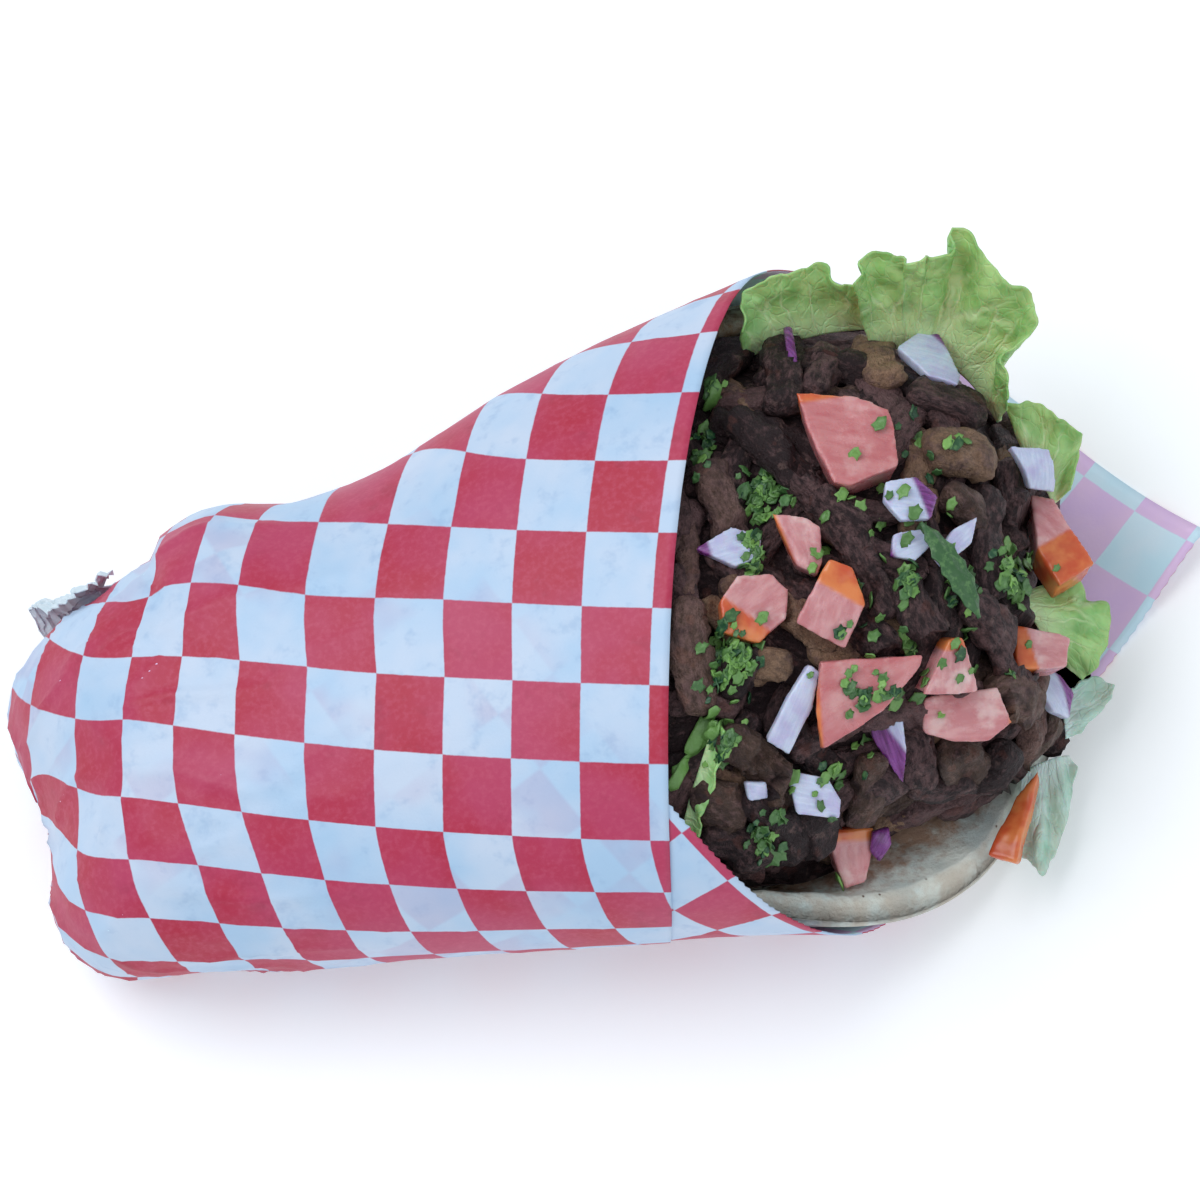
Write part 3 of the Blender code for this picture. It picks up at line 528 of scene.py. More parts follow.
class Shape:
    """Corners, faces and values per corner of one piece, from any number of parts."""

    def __init__(self):
        self.corners, self.faces, self.sides, self.values, self.count = [], [], [], {}, 0

    def add(self, corners, faces, side=0, **values):
        corners = np.asarray(corners, float).reshape(-1, 3)
        self.faces += [[i + self.count for i in face] for face in faces]
        self.sides += list(side) if isinstance(side, (list, np.ndarray)) else [side] * len(faces)
        self.corners.append(corners)
        for key, value in values.items():
            value = np.asarray(value, float)
            if value.ndim == 0:
                value = np.full(len(corners), float(value))
            self.values.setdefault(key, []).append(value.reshape(len(corners), -1))
        self.count += len(corners)

    def points(self):
        return np.concatenate(self.corners)

    def make(self, name, slot, finishes, nodes=()):
        mesh = bpy.data.meshes.new(name)
        mesh.from_pydata((self.points() * MM).tolist(), [], self.faces)
        for finish in finishes:
            mesh.materials.append(finish)
        mesh.polygons.foreach_set("material_index", self.sides)
        for key, parts in self.values.items():
            value = np.concatenate(parts).astype(np.float32)
            kind, field = ("FLOAT_VECTOR", "vector") if value.shape[1] == 3 else ("FLOAT", "value")
            mesh.attributes.new(key, kind, "POINT").data.foreach_set(field, value.ravel())
        bm = bmesh.new()
        bm.from_mesh(mesh)
        bmesh.ops.recalc_face_normals(bm, faces=bm.faces)
        bm.to_mesh(mesh)
        bm.free()
        mesh.shade_smooth()
        obj = bpy.data.objects.new(name, mesh)
        bpy.context.scene.collection.objects.link(obj)
        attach(obj, "root")
        if nodes:
            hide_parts(*nodes)
        return obj


def grid_normals(points):
    """Unit normals of a grid of points. Where a row shrinks to a point they are zero."""
    across = np.gradient(points, axis=0)
    along = np.gradient(points, axis=1)
    normals = np.cross(across, along)
    length = np.linalg.norm(normals, axis=-1, keepdims=True)
    return normals / np.maximum(length, 1e-9)


def grid_faces(rows, columns, start=0):
    index = np.arange(rows * columns).reshape(rows, columns) + start
    corners = [index[:-1, :-1], index[1:, :-1], index[1:, 1:], index[:-1, 1:]]
    return np.stack(corners, -1).reshape(-1, 4).tolist()


def add_sheet(shape, front, back, sides=(0, 0, 0), **values):
    """A solid sheet between two grids of points. Values are given once, for a grid of them."""
    rows, columns = front.shape[:2]
    count = rows * columns
    index = np.arange(count).reshape(rows, columns)
    rim = np.concatenate([index[:-1, 0], index[-1, :-1], index[:0:-1, -1], index[0, :0:-1]])
    wall = [[a, b, b + count, a + count] for a, b in zip(rim, np.roll(rim, -1))]
    over, under = grid_faces(rows, columns), grid_faces(rows, columns, count)
    both = {key: np.concatenate([np.reshape(value, (count, -1))] * 2) for key, value in values.items()}
    corners = np.concatenate([front.reshape(-1, 3), back.reshape(-1, 3)])
    faces = over + [face[::-1] for face in under] + wall
    side = [sides[0]] * len(over) + [sides[1]] * len(under) + [sides[2]] * len(wall)
    shape.add(corners, faces, side, **both)


# Paper

def layer_inset(angle):
    """The far side of the sheet, which is folded over last, lies outside the near side."""
    return UNDER_LAYER + (OUTER_LAYER - UNDER_LAYER) * smooth(math.radians(-2), math.radians(4), angle)


def flat_place(distance, angle):
    """Place in the flat sheet from its front corner, across and along the print."""
    flat_x = distance * np.cos(angle) - CORNER[0]
    flat_y = distance * np.sin(angle) - CORNER[1]
    across = flat_x * math.cos(FAR_EDGE_ANGLE) + flat_y * math.sin(FAR_EDGE_ANGLE)
    along = flat_x * math.cos(NEAR_EDGE_ANGLE) + flat_y * math.sin(NEAR_EDGE_ANGLE)
    across, along = (across - CHECK_START_P) / CHECK, (along - CHECK_START_Q) / CHECK
    return packed(across, along, 0.0)


def print_over_the_top(place):
    """Where the print lies on the folded sheet: stretched on top and slack at the waist."""
    across, along = place[..., 0], place[..., 1]
    sagging = ROW_BEND * along**2 + TAIL_BEND * np.maximum(along - TAIL_BEND_FROM, 0.0) ** 2
    low = across + smooth(8.5, 11.0, across) * sagging
    over_top, past_top = np.clip(low, TOP_FROM, TOP_TO) - TOP_FROM, np.maximum(low - TOP_TO, 0.0)
    row = np.minimum(low, TOP_FROM) + TOP_STRETCH * over_top + SIDE_SQUEEZE * past_top
    waist = WAIST_SLACK * np.exp(-(((along - WAIST_COLUMN) / 2.2) ** 2)) * smooth(3.5, 11.5, row)
    row = np.where(row < WAIST_ROW, WAIST_ROW - (WAIST_ROW - row) / (1 + waist), row)
    on_top = smooth(5.0, 12.0, row)
    column = along - 0.036 * along * np.clip(16.0 - row, 0.0, 4.0) * smooth(7.5, 6.0, along) * on_top
    column -= 0.28 * np.exp(-(((along - 6.8) / 1.8) ** 2)) * smooth(19.0, 17.0, row) * on_top
    column += 0.17 * np.clip(row - 18.0, 0.0, 4.0) ** 1.4
    return packed(row, column, 0.0)


def wrinkles(points, distance, angle):
    """How far the sheet stands proud of the smooth roll."""
    broad = 0.5 + 0.5 * wave(points, 24.0, 3.1)
    crease = 1 - np.abs(wave(points, 13.0, 7.7)) * 2.2
    fine = 1 - np.abs(wave(points, 6.0, 1.3)) * 2.2
    tail = smooth(305.0, 240.0, distance)
    x, y, z = (points[..., axis] for axis in range(3))
    shoulder = smooth(-84.0, -79.5, x) * smooth(-54.0, -72.0, x) * smooth(6.0, 30.0, y)
    spoke = 1 - np.abs(np.sin(angle / FULL_TURN * math.pi * SPOKES + 1.6 * wave(points, 30.0, 5.0)))
    gathered = 0.55 * np.maximum(crease, 0) ** 4 + 0.25 * np.maximum(fine, 0) ** 3
    proud = 0.55 * broad + 0.16 * np.maximum(crease, 0) ** 3 + tail * gathered
    twisted = smooth(240.0, 262.0, distance) * smooth(306.0, 280.0, distance)
    proud += tail * 1.3 * spoke**4 * twisted + SHOULDER_STEP * shoulder
    return proud * smooth(1.0, 7.0, z)


def make_paper():
    near_stop = overlap_angle() - FULL_TURN - UNDER_THE_ROLL[0]
    front = math.atan2(CORNER[1], CORNER[0])
    near = np.linspace(near_stop, front, NEAR_COLUMNS)
    far = np.linspace(front, FULL_TURN - UNDER_THE_ROLL[1], FAR_COLUMNS)[1:]
    angle = np.concatenate([near, far])
    edge = sheet_edge(angle)
    teeth = np.where(angle < front, TEETH * (np.arange(len(angle)) % 2), 0.0)
    inset = layer_inset(angle)
    v = np.linspace(0.0, 1.0, PAPER_ROWS)
    turn = np.cos(np.minimum(v / TAIL_ROWS_SHARE, 1.0) * math.pi / 2)
    tail_end = TAIL_END + inset[:, None]
    rolled_back = TAIL_START - (TAIL_START - tail_end) * turn[None]
    run = np.clip((v - TAIL_ROWS_SHARE) / (1 - TAIL_ROWS_SHARE), 0, 1)[None]
    distance = rolled_back + (edge[:, None] - TAIL_START) * run
    distance[:, -1] -= teeth
    angles = np.broadcast_to(angle[:, None], distance.shape)
    smooth_roll = rolled(distance, angles, 0.0)
    proud = wrinkles(smooth_roll, distance, (angles + HALF_TURN) % FULL_TURN)
    points = rolled(distance, angles, np.broadcast_to(inset[:, None], distance.shape))
    normals = grid_normals(smooth_roll)
    outward = points - rolled(distance, angles, 6.0)
    flip = np.sign(np.sum(normals * outward, -1, keepdims=True))
    normals = normals * np.where(flip == 0, 1, flip)
    normals[:, 0] = (-1.0, 0.0, 0.0)
    points = points + normals * proud[..., None]
    near_side = smooth(-8.0, -28.0, points[..., 1])
    points[..., 0] -= TAIL_CORNER * smooth(-84.0, -104.0, points[..., 0]) * near_side
    middle = smooth(0.0, 30.0, 30.0 - np.abs(points[..., 1]))
    points[..., 2] += LIFT_OF_CORNER * smooth(434.0, 462.0, distance) * middle
    points[..., 2] = np.maximum(points[..., 2], OUTER_LAYER * 0.9)
    pulled = edge_pull(angles) * smooth(235.0, 300.0, distance)
    print_place = print_over_the_top(flat_place(distance + pulled, angles))
    under = flat_place(distance, angles - FULL_TURN)
    under[angles < math.radians(8.0)] = ONE_LAYER
    half = normals * (SHEET_THICKNESS / 2)
    shape = Shape()
    add_sheet(shape, points + half, points - half, (0, 1, 0), print=print_place, under=under)
    return shape.make("checked_paper_wrap", "paper", [printed_paper(), plain_paper()], ["checked_paper"])


def make_foil():
    def base(u, v):
        ragged = 1 + 0.4 * wave(packed(6 * v, 0.0, 0.0), 1.0)
        return rolled(236.0 + 13.0 * u * ragged, math.radians(8.5) + 0.11 * v, -1.2)

    u, v = np.meshgrid(np.linspace(0, 1, 30), np.linspace(0, 1, 26), indexing="ij")
    lift = np.array(Vector((-0.8, 0.9, 0.35)).normalized())
    field = packed(5 * u, 5 * v, 0.3)
    high = 1.2 + 6.5 * (1 - np.abs(2 * v - 1)) * (1 - u) + 3.0 * np.abs(wave(field, 1.0))
    high += 1.4 * np.abs(wave(field, 0.35)) + 0.6 * np.abs(wave(field, 0.16))
    points = base(u, v) + lift * high[..., None]
    half = grid_normals(points) * 0.12
    shape = Shape()
    add_sheet(shape, points + half, points - half)
    foil = shape.make("foil_liner_end", "foil", [foil_finish()], ["foil_end"])
    foil.data.set_sharp_from_angle(angle=math.radians(20))
    return foil


# Bread

def make_bread():
    side = np.linspace(-1, 1, 150)
    a, b = np.meshgrid(side, side, indexing="ij")
    distance = BREAD_CENTRE + BREAD_RADIUS * a * np.sqrt(1 - b * b / 2)
    angle = BREAD_TURN + BREAD_RADIUS * b * np.sqrt(1 - a * a / 2) / distance
    to_rim = (1 - np.maximum(np.abs(a), np.abs(b))) * BREAD_RADIUS
    round_off = np.sqrt(np.clip(1 - (1 - np.clip(to_rim / 3.6, 0, 1)) ** 2, 0, 1))
    ground = rolled(distance, angle, BREAD_INSET)
    puff = np.maximum(wave(ground, 11.0, 2.0), 0.0) * 1.5 + 0.3 * wave(ground, 4.0, 9.0)
    thick = BREAD_THICKNESS * (0.22 + 0.78 * round_off) - 0.5
    outer = rolled(distance, angle, BREAD_INSET + 0.9 * smooth(1.6, 0.0, to_rim))
    inner = rolled(distance, angle, BREAD_INSET + thick + puff * round_off)
    rim = smooth(4.5, 1.0, to_rim)
    stain = smooth(66.0, 47.0, np.hypot(inner[..., 0] - 26.0, inner[..., 1] * 0.95 - 4.0)) * 0.85
    bubble = wave(ground, 9.0, 4.4)
    shape = Shape()
    add_sheet(shape, outer, inner, bubble=bubble, rim=rim, stain=stain)
    return shape.make("pita_bread", "bread", [bread_finish()], ["flatbread"])


# Beef

# Both ends of each strip that can be told apart, its width and how far it bends.
STRIPS = (
    (41, 56, 39, 30, 7.6, 1.5), (44, 53, 60, 50, 6.5, -1.5), (29, 32, 40, 14, 6.8, 1.0),
    (37, 20, 51, -14, 6.8, 2.0), (58, 48, 59, 33, 7.5, 0.5), (63, 33, 76, 29, 8.0, -1.5),
    (63, 18, 75, 16, 9.0, 0.8), (79, 19, 75, 3, 7.5, 1.0), (74, 13, 70, -11, 7.0, -1.5),
    (65, -11, 72, -25, 7.5, 1.5), (66, -28, 74, -27, 8.5, 1.5), (57, -33, 62, -36, 8.5, -1.0),
    (50, -32, 50, -38, 8.0, 0.8), (39, -37, 45, -39, 7.0, 1.0), (48, -38, 60, -36, 6.5, -1.0),
    (15, -29, 26, -40, 7.5, 0.8), (8, -37, 17, -42, 8.5, 0.0), (28, -40, 30, -45, 8.5, 0.5),
    (23, -18, 31, -20, 5.6, 0.5), (15, -4, 13, -26, 7.0, -1.0), (22, 23, 25, 3, 7.0, 1.0),
    (24, -13, 17, -23, 6.5, 1.0), (43, -13, 50, -21, 6.2, 0.6), (54, -7, 59, -19, 6.5, -1.0),
    (43, -34, 37, -42, 6.5, 0.8), (74, -3, 72, -17, 7.0, 1.0), (69, -32, 60, -37, 7.0, 0.8),
    (18, -38, 25, -46, 8.0, 0.5), (42, 13, 50, 2, 6.2, -0.6), (65, 10, 74, 1, 6.5, 0.6),
    (8, -43, 18, -47, 7.0, 0.5), (22, 38, 34, 52, 7.0, -1.0), (47, -1, 59, -7, 6.2, 1.0),
    (75, -9, 73, -24, 6.5, -0.6), (50, 45, 45, 33, 6.5, 0.6), (12, 45, 14, 28, 7.0, -0.6),
)
# How tan some of those strips are, by their number.
TAN_STRIPS = {4: 0.9, 6: 0.8, 18: 0.8, 16: 0.2, 10: 0.35}
# Corners round a strip and the step along it, and the number of other strips and their ranges.
RING, STRIP_STEP = 18, 0.85
LOOSE_STRIPS, LOOSE_WIDTH, LOOSE_LENGTH, LOOSE_LIFT = 150, (4.4, 7.4), (9, 30), (-3.6, -0.6)
# Under a topping the meat is pressed to this share of its height, from this far above the topping.
DENT, DENT_REACH = 0.15, 6.0


def mound_rows():
    """The top of the filling as rows of points across it, kept inside the bread."""
    front = np.sin(np.radians(np.linspace(37.0, 89.0, 26))) ** (1 / 2.25)
    turn = np.radians(np.linspace(-90, 90, 61))
    rows = []
    for x in np.concatenate([np.linspace(-6.0, 62.0, 35), HEAP_START + HEAP_LENGTH * front]):
        places, heights = profile(x, HEAP_INSET, upper=False)
        row = []
        for t in turn:
            power = 3.1 if t > 0 else 2.6
            reach = heap_half_width(x, 40.0 if t > 0 else -40.0) * abs(math.sin(t)) ** (2 / power)
            y = min(max(math.copysign(reach, t), places[0]), places[-1])
            row.append((x, y, max(heap_height(x, y), float(np.interp(y, places, heights)))))
        rows.append(row)
    return np.array(rows)


def bread_under(point):
    """Height of the bread's inner face below a point."""
    places, heights = profile(point.x, HEAP_INSET, upper=False)
    return float(np.interp(point.y, places, heights))


def keep_inside(points, margin=0.3):
    """Moves points that would stick out through the bread or the paper back inside."""
    for low in np.arange(-12.0, 96.0, 2.0):
        here = (points[:, 0] >= low) & (points[:, 0] < low + 2.0)
        if not here.any():
            continue
        y, z = points[here, 1], points[here, 2]
        places, heights = profile(low + 1.0, HEAP_INSET, upper=False)
        y = np.clip(y, places[0] + margin, places[-1] - margin)
        z = np.maximum(z, np.interp(y, places, heights) + margin)
        if low < 32.0:
            places, heights = profile(low + 1.0, 1.3, upper=True)
            z = np.minimum(z, np.interp(y, places, heights) - margin)
        points[here, 1], points[here, 2] = y, z
    return points


def resampled(path, count):
    path = np.asarray(path, float)
    along = np.concatenate([[0], np.cumsum(np.linalg.norm(np.diff(path[:, :3], axis=0), axis=1))])
    at = np.linspace(0, along[-1], count)
    return np.stack([np.interp(at, along, path[:, i]) for i in range(path.shape[1])], -1), along[-1]


def add_strip(shape, path, width, flat, seed, tan=0.0, tone=0.5, twist=0.0, lumps=0.16):
    """One strip of meat. path holds points and the normals of what they lie on, six numbers each."""
    rough_length = np.linalg.norm(np.diff(np.asarray(path)[:, :3], axis=0), axis=1).sum()
    count = max(9, int(rough_length / STRIP_STEP))
    path, length = resampled(path, count)
    middle, normal = path[:, :3], path[:, 3:]
    forward = np.gradient(middle, axis=0)
    forward /= np.maximum(np.linalg.norm(forward, axis=1, keepdims=True), 1e-6)
    sideways = np.cross(normal, forward)
    sideways /= np.maximum(np.linalg.norm(sideways, axis=1, keepdims=True), 1e-6)
    normal = np.cross(forward, sideways)
    v = np.linspace(0, 1, count)
    ring = np.linspace(0, 2 * math.pi, RING, endpoint=False)
    swing = twist * (v - 0.5) + 0.5 * wave(packed(v * length / 14, seed, 0.0), 1.0)
    ends = np.minimum(np.minimum(v, 1 - v) * length / (width * 0.42), 1.0)
    radius = width / 2 * (0.18 + 0.82 * np.sqrt(np.clip(1 - (1 - ends) ** 2, 0, 1)))
    radius *= 1 + 0.22 * wave(packed(v * length / 8, 0.0, seed), 1.0)
    cos, sin = np.cos(ring), np.sin(ring)
    box_cos = np.sign(cos) * np.abs(cos) ** 0.85
    box_sin = np.sign(sin) * np.abs(sin) ** 0.75
    field = packed(cos[None], sin[None], (v * length / 5.5)[:, None]) + seed
    bumps = 1 + 1.4 * lumps * wave(field, 0.9)
    for finer, share in (((2.2, 2.2, 1.6), 1.1), ((4.4, 4.4, 3.2), 0.8), ((8.0, 8.0, 6.0), 0.45)):
        bumps += share * lumps * wave(field * finer, 1.0)
    flatness = flat * (1 + 0.2 * wave(packed(v * length / 11, 3.0, seed), 1.0))
    wide = radius[:, None] * bumps * box_cos[None]
    tall = (radius * flatness)[:, None] * bumps * box_sin[None]
    turned_side = wide * np.cos(swing)[:, None] - tall * np.sin(swing)[:, None]
    turned_up = wide * np.sin(swing)[:, None] + tall * np.cos(swing)[:, None]
    corners = middle[:, None] + sideways[:, None] * turned_side[..., None]
    corners = corners + normal[:, None] * turned_up[..., None]
    grain = packed((v * length)[:, None], wide, tall) + seed * 7.3
    index = np.arange(count * RING).reshape(count, RING)
    ahead = np.roll(index, -1, axis=1)
    faces = np.stack([index[:-1], ahead[:-1], ahead[1:], index[1:]], -1).reshape(-1, 4).tolist()
    faces += [index[0].tolist()[::-1], index[-1].tolist()]
    shape.add(corners, faces, grain=grain.reshape(-1, 3), tan=tan, tone=tone)


def dented(points, rooms):
    """Lowers the meat under each topping, as its weight does."""
    for matrix, size in rooms:
        local = moved(points, matrix.inverted())
        inside = (np.abs(local[:, 0]) < size[0] / 2 + 0.4) & (np.abs(local[:, 1]) < size[1] / 2 + 0.4)
        ground = -DENT * size[2]
        inside &= (local[:, 2] > ground) & (local[:, 2] < size[2] * 0.5 + DENT_REACH)
        local[inside, 2] = ground + DENT * (local[inside, 2] - ground)
        points = np.where(inside[:, None], moved(local, matrix), points)
    return points


def make_beef(rooms):
    draw = random.Random(7)
    rows = mound_rows()
    flat_rows = rows.reshape(-1, 3)
    faces = grid_faces(*rows.shape[:2])
    mound = BVHTree.FromPolygons([Vector(p) for p in flat_rows], faces)
    shape = Shape()

    # The middle of the heap, which fills what the strips leave open.
    normals = grid_normals(rows)
    normals *= np.where(normals[..., 2:] < 0, -1, 1)
    core = rows - normals * (2.6 + 1.4 * wave(rows, 5.0, 2.2))[..., None]
    core = core - np.array((1.5, 0, 0)) * smooth(70, 88, rows[..., :1])
    floor = core.copy()
    floor[..., 2] = np.minimum(floor[..., 2] - 1.0, 10.2)
    tan = np.zeros(rows.shape[:2])
    # It is meat, but its fixed tone of 0.15 makes it the darkest meat: painted shade in the gaps between
    # strips.
    add_sheet(shape, core, floor, grain=core, tan=tan, tone=tan + 0.15)

    def laid(start, direction, length, lift, bend):
        """A path over the mound: points and normals from one end to the other."""
        path = []
        across = Vector((0, 0, 1)).cross(direction)
        for v in np.linspace(-0.5, 0.5, 13):
            guess = start + direction * (length * v) + across * (bend * math.cos(math.pi * v))
            point, normal, _, _ = mound.find_nearest(guess)
            normal = Vector((0, 0, 1)) if normal.length < 0.5 else normal
            if normal.z < 0:
                normal = -normal
            path.append((*(point + normal * lift), *normal))
        return path

    for number, (x0, y0, x1, y1, width, bend) in enumerate(STRIPS):
        lift = draw.uniform(0.2, 1.8)
        start, end = Vector((x0, y0, heap_height(x0, y0))), Vector((x1, y1, heap_height(x1, y1)))
        run = end - start
        across = Vector((-run.y, run.x, 0.0)).normalized()
        path = []
        for v in np.linspace(0.0, 1.0, 15):
            spot = start + run * v + across * (bend * math.sin(math.pi * v))
            spot.z = heap_height(spot.x, spot.y)
            normal = heap_normal(spot.x, spot.y)
            path.append((*(spot + normal * lift), *normal))
        tan, tone = TAN_STRIPS.get(number, draw.choice((0, 0, 0, 0.2))), draw.uniform(0.1, 0.7)
        flat, seed, twist = draw.uniform(0.62, 0.86), number * 1.7 + 0.3, draw.uniform(-0.7, 0.7)
        add_strip(shape, path, width * 1.04, flat, seed, tan, tone, twist, 0.2)

    # Strips between the others, on all sides.
    areas = []
    for face in faces:
        a, b, c, d = (Vector(flat_rows[i]) for i in face)
        ground = bread_under((a + c) / 2)
        area = ((b - a).cross(c - a).length + (c - a).cross(d - a).length) / 2
        areas.append(area if ((a + c) / 2).z > ground + 2.0 else 0.0)
    middles = [Vector(np.mean([flat_rows[i] for i in face], axis=0)) for face in faces]
    placed = []
    for number in range(LOOSE_STRIPS):
        options = draw.choices(range(len(faces)), weights=areas, k=9)
        gaps = [min(((middles[i] - other).length for other in placed), default=1.0) for i in options]
        start = middles[options[gaps.index(max(gaps))]]
        placed.append(start)
        _, normal, _, _ = mound.find_nearest(start)
        heading = draw.uniform(0, 2 * math.pi)
        guess = Vector((math.cos(heading), math.sin(heading), 0.0))
        direction = (guess - normal * guess.dot(normal)).normalized()
        width, lift = draw.uniform(*LOOSE_WIDTH), draw.uniform(*LOOSE_LIFT)
        path = laid(start, direction, draw.uniform(*LOOSE_LENGTH), lift, draw.uniform(-4.0, 4.0))
        tan, tone = draw.choice((0, 0, 0, 0, 0, 0.25, 0.8)), draw.uniform(0.1, 0.9)
        flat, seed, twist = draw.uniform(0.5, 0.9), 70 + number * 1.3, draw.uniform(-0.9, 0.9)
        add_strip(shape, path, width, flat, seed, tan, tone, twist, 0.24)
    points = keep_inside(dented(shape.points(), rooms))
    shape.corners = [points]
    return shape


# Toppings

# Name, x, y, size, yaw, tilt and how deep it sinks, as in the model's source. Then from the picture:
# its outline, the direction in degrees and the place of its skin, and how red its flesh is.
TOMATOES = (
    ("tomato_1", 49.4, 20.5, (19, 15, 9), -20, (6, 0), 0.6,
     ((793, 393), (851, 398), (886, 410), (891, 427), (895, 466), (847, 486), (830, 484), (805, 433)),
     (100, 0.40), 0.45),
    ("tomato_2", 36.2, 4, (12.5, 8.5, 8), -78, (0, 8), 1.2,
     ((769, 514), (804, 518), (817, 527), (819, 563), (814, 574), (792, 565)),
     (200, 0.42), 0.0),
    ("tomato_3", 25.4, -7.8, (11.5, 11, 8), 30, (10, 5), 1.0,
     ((735, 576), (768, 573), (786, 590), (783, 618), (757, 642), (722, 632), (717, 600)),
     (235, 0.12), 0.05),
    ("tomato_4", 41.5, -11.2, (14, 11, 9), 62, (0, -10), 1.0,
     ((824, 559), (848, 567), (861, 603), (840, 649), (791, 622)),
     (60, 0.12), 0.0),
    ("tomato_5", 43.8, -25.2, (17.5, 10.5, 8), 18, (-8, 4), 0.6,
     ((816, 660), (917, 654), (915, 666), (877, 711), (818, 749), (812, 713)),
     (185, 0.46), 0.4),
    ("tomato_6", 59, -21.3, (10, 9, 7), 80, (6, 0), 1.2,
     ((944, 638), (959, 637), (975, 692), (919, 694)),
     (90, 0.30), 0.0),
    ("tomato_7", 61.5, -31.3, (15.5, 8.5, 8), -4, (-10, 0), 1.0,
     ((918, 696), (993, 686), (1008, 721), (984, 740), (950, 740), (921, 732)),
     (0, 0.47), 0.1),
    ("tomato_8", 80, 6.5, (15, 10, 8), -52, (0, -30), -8.5,
     ((1031, 493), (1055, 498), (1094, 563), (1058, 585), (1037, 549)),
     (-50, 0.02), 0.0),
    ("tomato_9", 75, -17.5, (11.5, 8.5, 7), -14, (0, -12), -0.5,
     ((1011, 623), (1069, 636), (1066, 665), (1013, 670)),
     (190, 0.15), 0.0),
    ("tomato_10", 35, -44, (9, 7, 7), -95, (0, 0), 1.5,
     ((824, 829), (873, 826), (873, 843), (866, 882), (844, 888), (834, 861)),
     (90, 0.30), 0.1),
    ("tomato_strip", 67, -44, (21, 5, 4), -123, (14, 0), -3.5,
     ((1039, 769), (1014, 862), (985, 854), (1014, 796)),
     (0, -0.9), 0.3),
)
ONIONS = (
    ("onion_1", 67, 37.5, (12, 9, 2.6), -25, (0, 0), -1.6,
     ((896, 347), (919, 333), (937, 334), (960, 376), (957, 386), (926, 379)),
     (20, 0.34)),
    ("onion_2", 59.5, 7, (10, 8, 5.5), -12, (0, 6), 0.8,
     ((881, 483), (911, 479), (934, 498), (926, 521), (896, 523), (879, 501)),
     (15, 0.14)),
    ("onion_3", 65.5, 0.5, (11, 5.5, 3.2), 38, (0, 0), 0.2,
     ((975, 516), (966, 545), (939, 567), (930, 556), (948, 530)),
     (0, 0.6)),
    ("onion_4", 55.5, -2.2, (9, 8, 2.6), 15, (10, 0), 0.8,
     ((888, 535), (915, 530), (928, 545), (910, 562), (886, 557)),
     (200, 0.42)),
    ("onion_5", 23.8, 5, (12.5, 7, 2.6), 10, (0, 5), 0.4,
     ((693, 549), (729, 529), (759, 537), (757, 559), (733, 569)),
     (190, 0.32)),
    ("onion_6", 27, -28, (16, 5, 3.0), 58, (8, 0), 0.2,
     ((806, 662), (816, 670), (808, 705), (786, 753), (763, 739), (783, 695)),
     (0, 0.6)),
    ("onion_7", 30, -38.5, (10.5, 8.5, 4.6), -22, (-10, 0), 0.6,
     ((783, 767), (824, 775), (838, 798), (836, 816), (793, 811)),
     (95, 0.45)),
    ("onion_8", 50, -34.5, (13, 6, 2.6), -78, (12, 0), 0.0,
     ((896, 693), (903, 748), (900, 783), (868, 735), (865, 719)),
     (215, 0.05)),
    ("onion_9", 81.5, 18.3, (8.5, 8.5, 3.4), -88, (0, 12), 0.0,
     ((1010, 446), (1049, 448), (1056, 492), (1029, 489)),
     (0, 0.6)),
    ("onion_10", 77, -26.5, (10, 8, 2.6), -60, (-10, 0), 0.0,
     ((1031, 682), (1054, 671), (1072, 694), (1070, 719), (1050, 712)),
     (20, 0.20)),
    ("onion_11", 44.3, 43, (7, 3.4, 2.4), -70, (0, 0), -1.0,
     ((783, 325), (792, 326), (797, 362), (787, 365)),
     (0, -0.9)),
    ("onion_12", 45.5, -40.5, (8, 4, 2.4), 50, (0, 0), 0.8,
     ((870, 830), (888, 826), (890, 842), (878, 862), (868, 850)),
     (0, -0.9)),
    ("onion_13", 20, -37.5, (6, 4.6, 2.8), -20, (0, 0), 0.2,
     ((742, 778), (763, 778), (766, 795), (745, 797)),
     (0, 0.6)),
)


def chunk(outline, top, bottom, narrowing, rounding, voxel):
    """A cut piece with this outline, its edges softened: corners and faces in its own place."""
    middle = outline.mean(axis=0)
    bm = bmesh.new()
    upper, lower = (
        [bm.verts.new((x * MM, y * MM, height * MM)) for x, y in ring]
        for ring, height in ((outline, top), (middle + (outline - middle) * narrowing, bottom))
    )
    bm.faces.new(upper)
    bm.faces.new(lower[::-1])
    for i in range(len(upper)):
        j = (i + 1) % len(upper)
        bm.faces.new((upper[j], upper[i], lower[i], lower[j]))
    bmesh.ops.recalc_face_normals(bm, faces=bm.faces)
    mesh = bpy.data.meshes.new("chunk")
    bm.to_mesh(mesh)
    bm.free()
    obj = bpy.data.objects.new("chunk", mesh)
    bpy.context.scene.collection.objects.link(obj)
    remesh = obj.modifiers.new("even", "REMESH")
    remesh.mode, remesh.voxel_size = "VOXEL", voxel * MM
    soften = obj.modifiers.new("soften", "SMOOTH")
    soften.factor, soften.iterations = 0.5, rounding
    even = obj.evaluated_get(bpy.context.evaluated_depsgraph_get()).to_mesh()
    corners = np.array([v.co for v in even.vertices]) / MM
    faces = [list(p.vertices) for p in even.polygons]
    bpy.data.objects.remove(obj)
    bpy.data.meshes.remove(mesh)
    return corners, faces


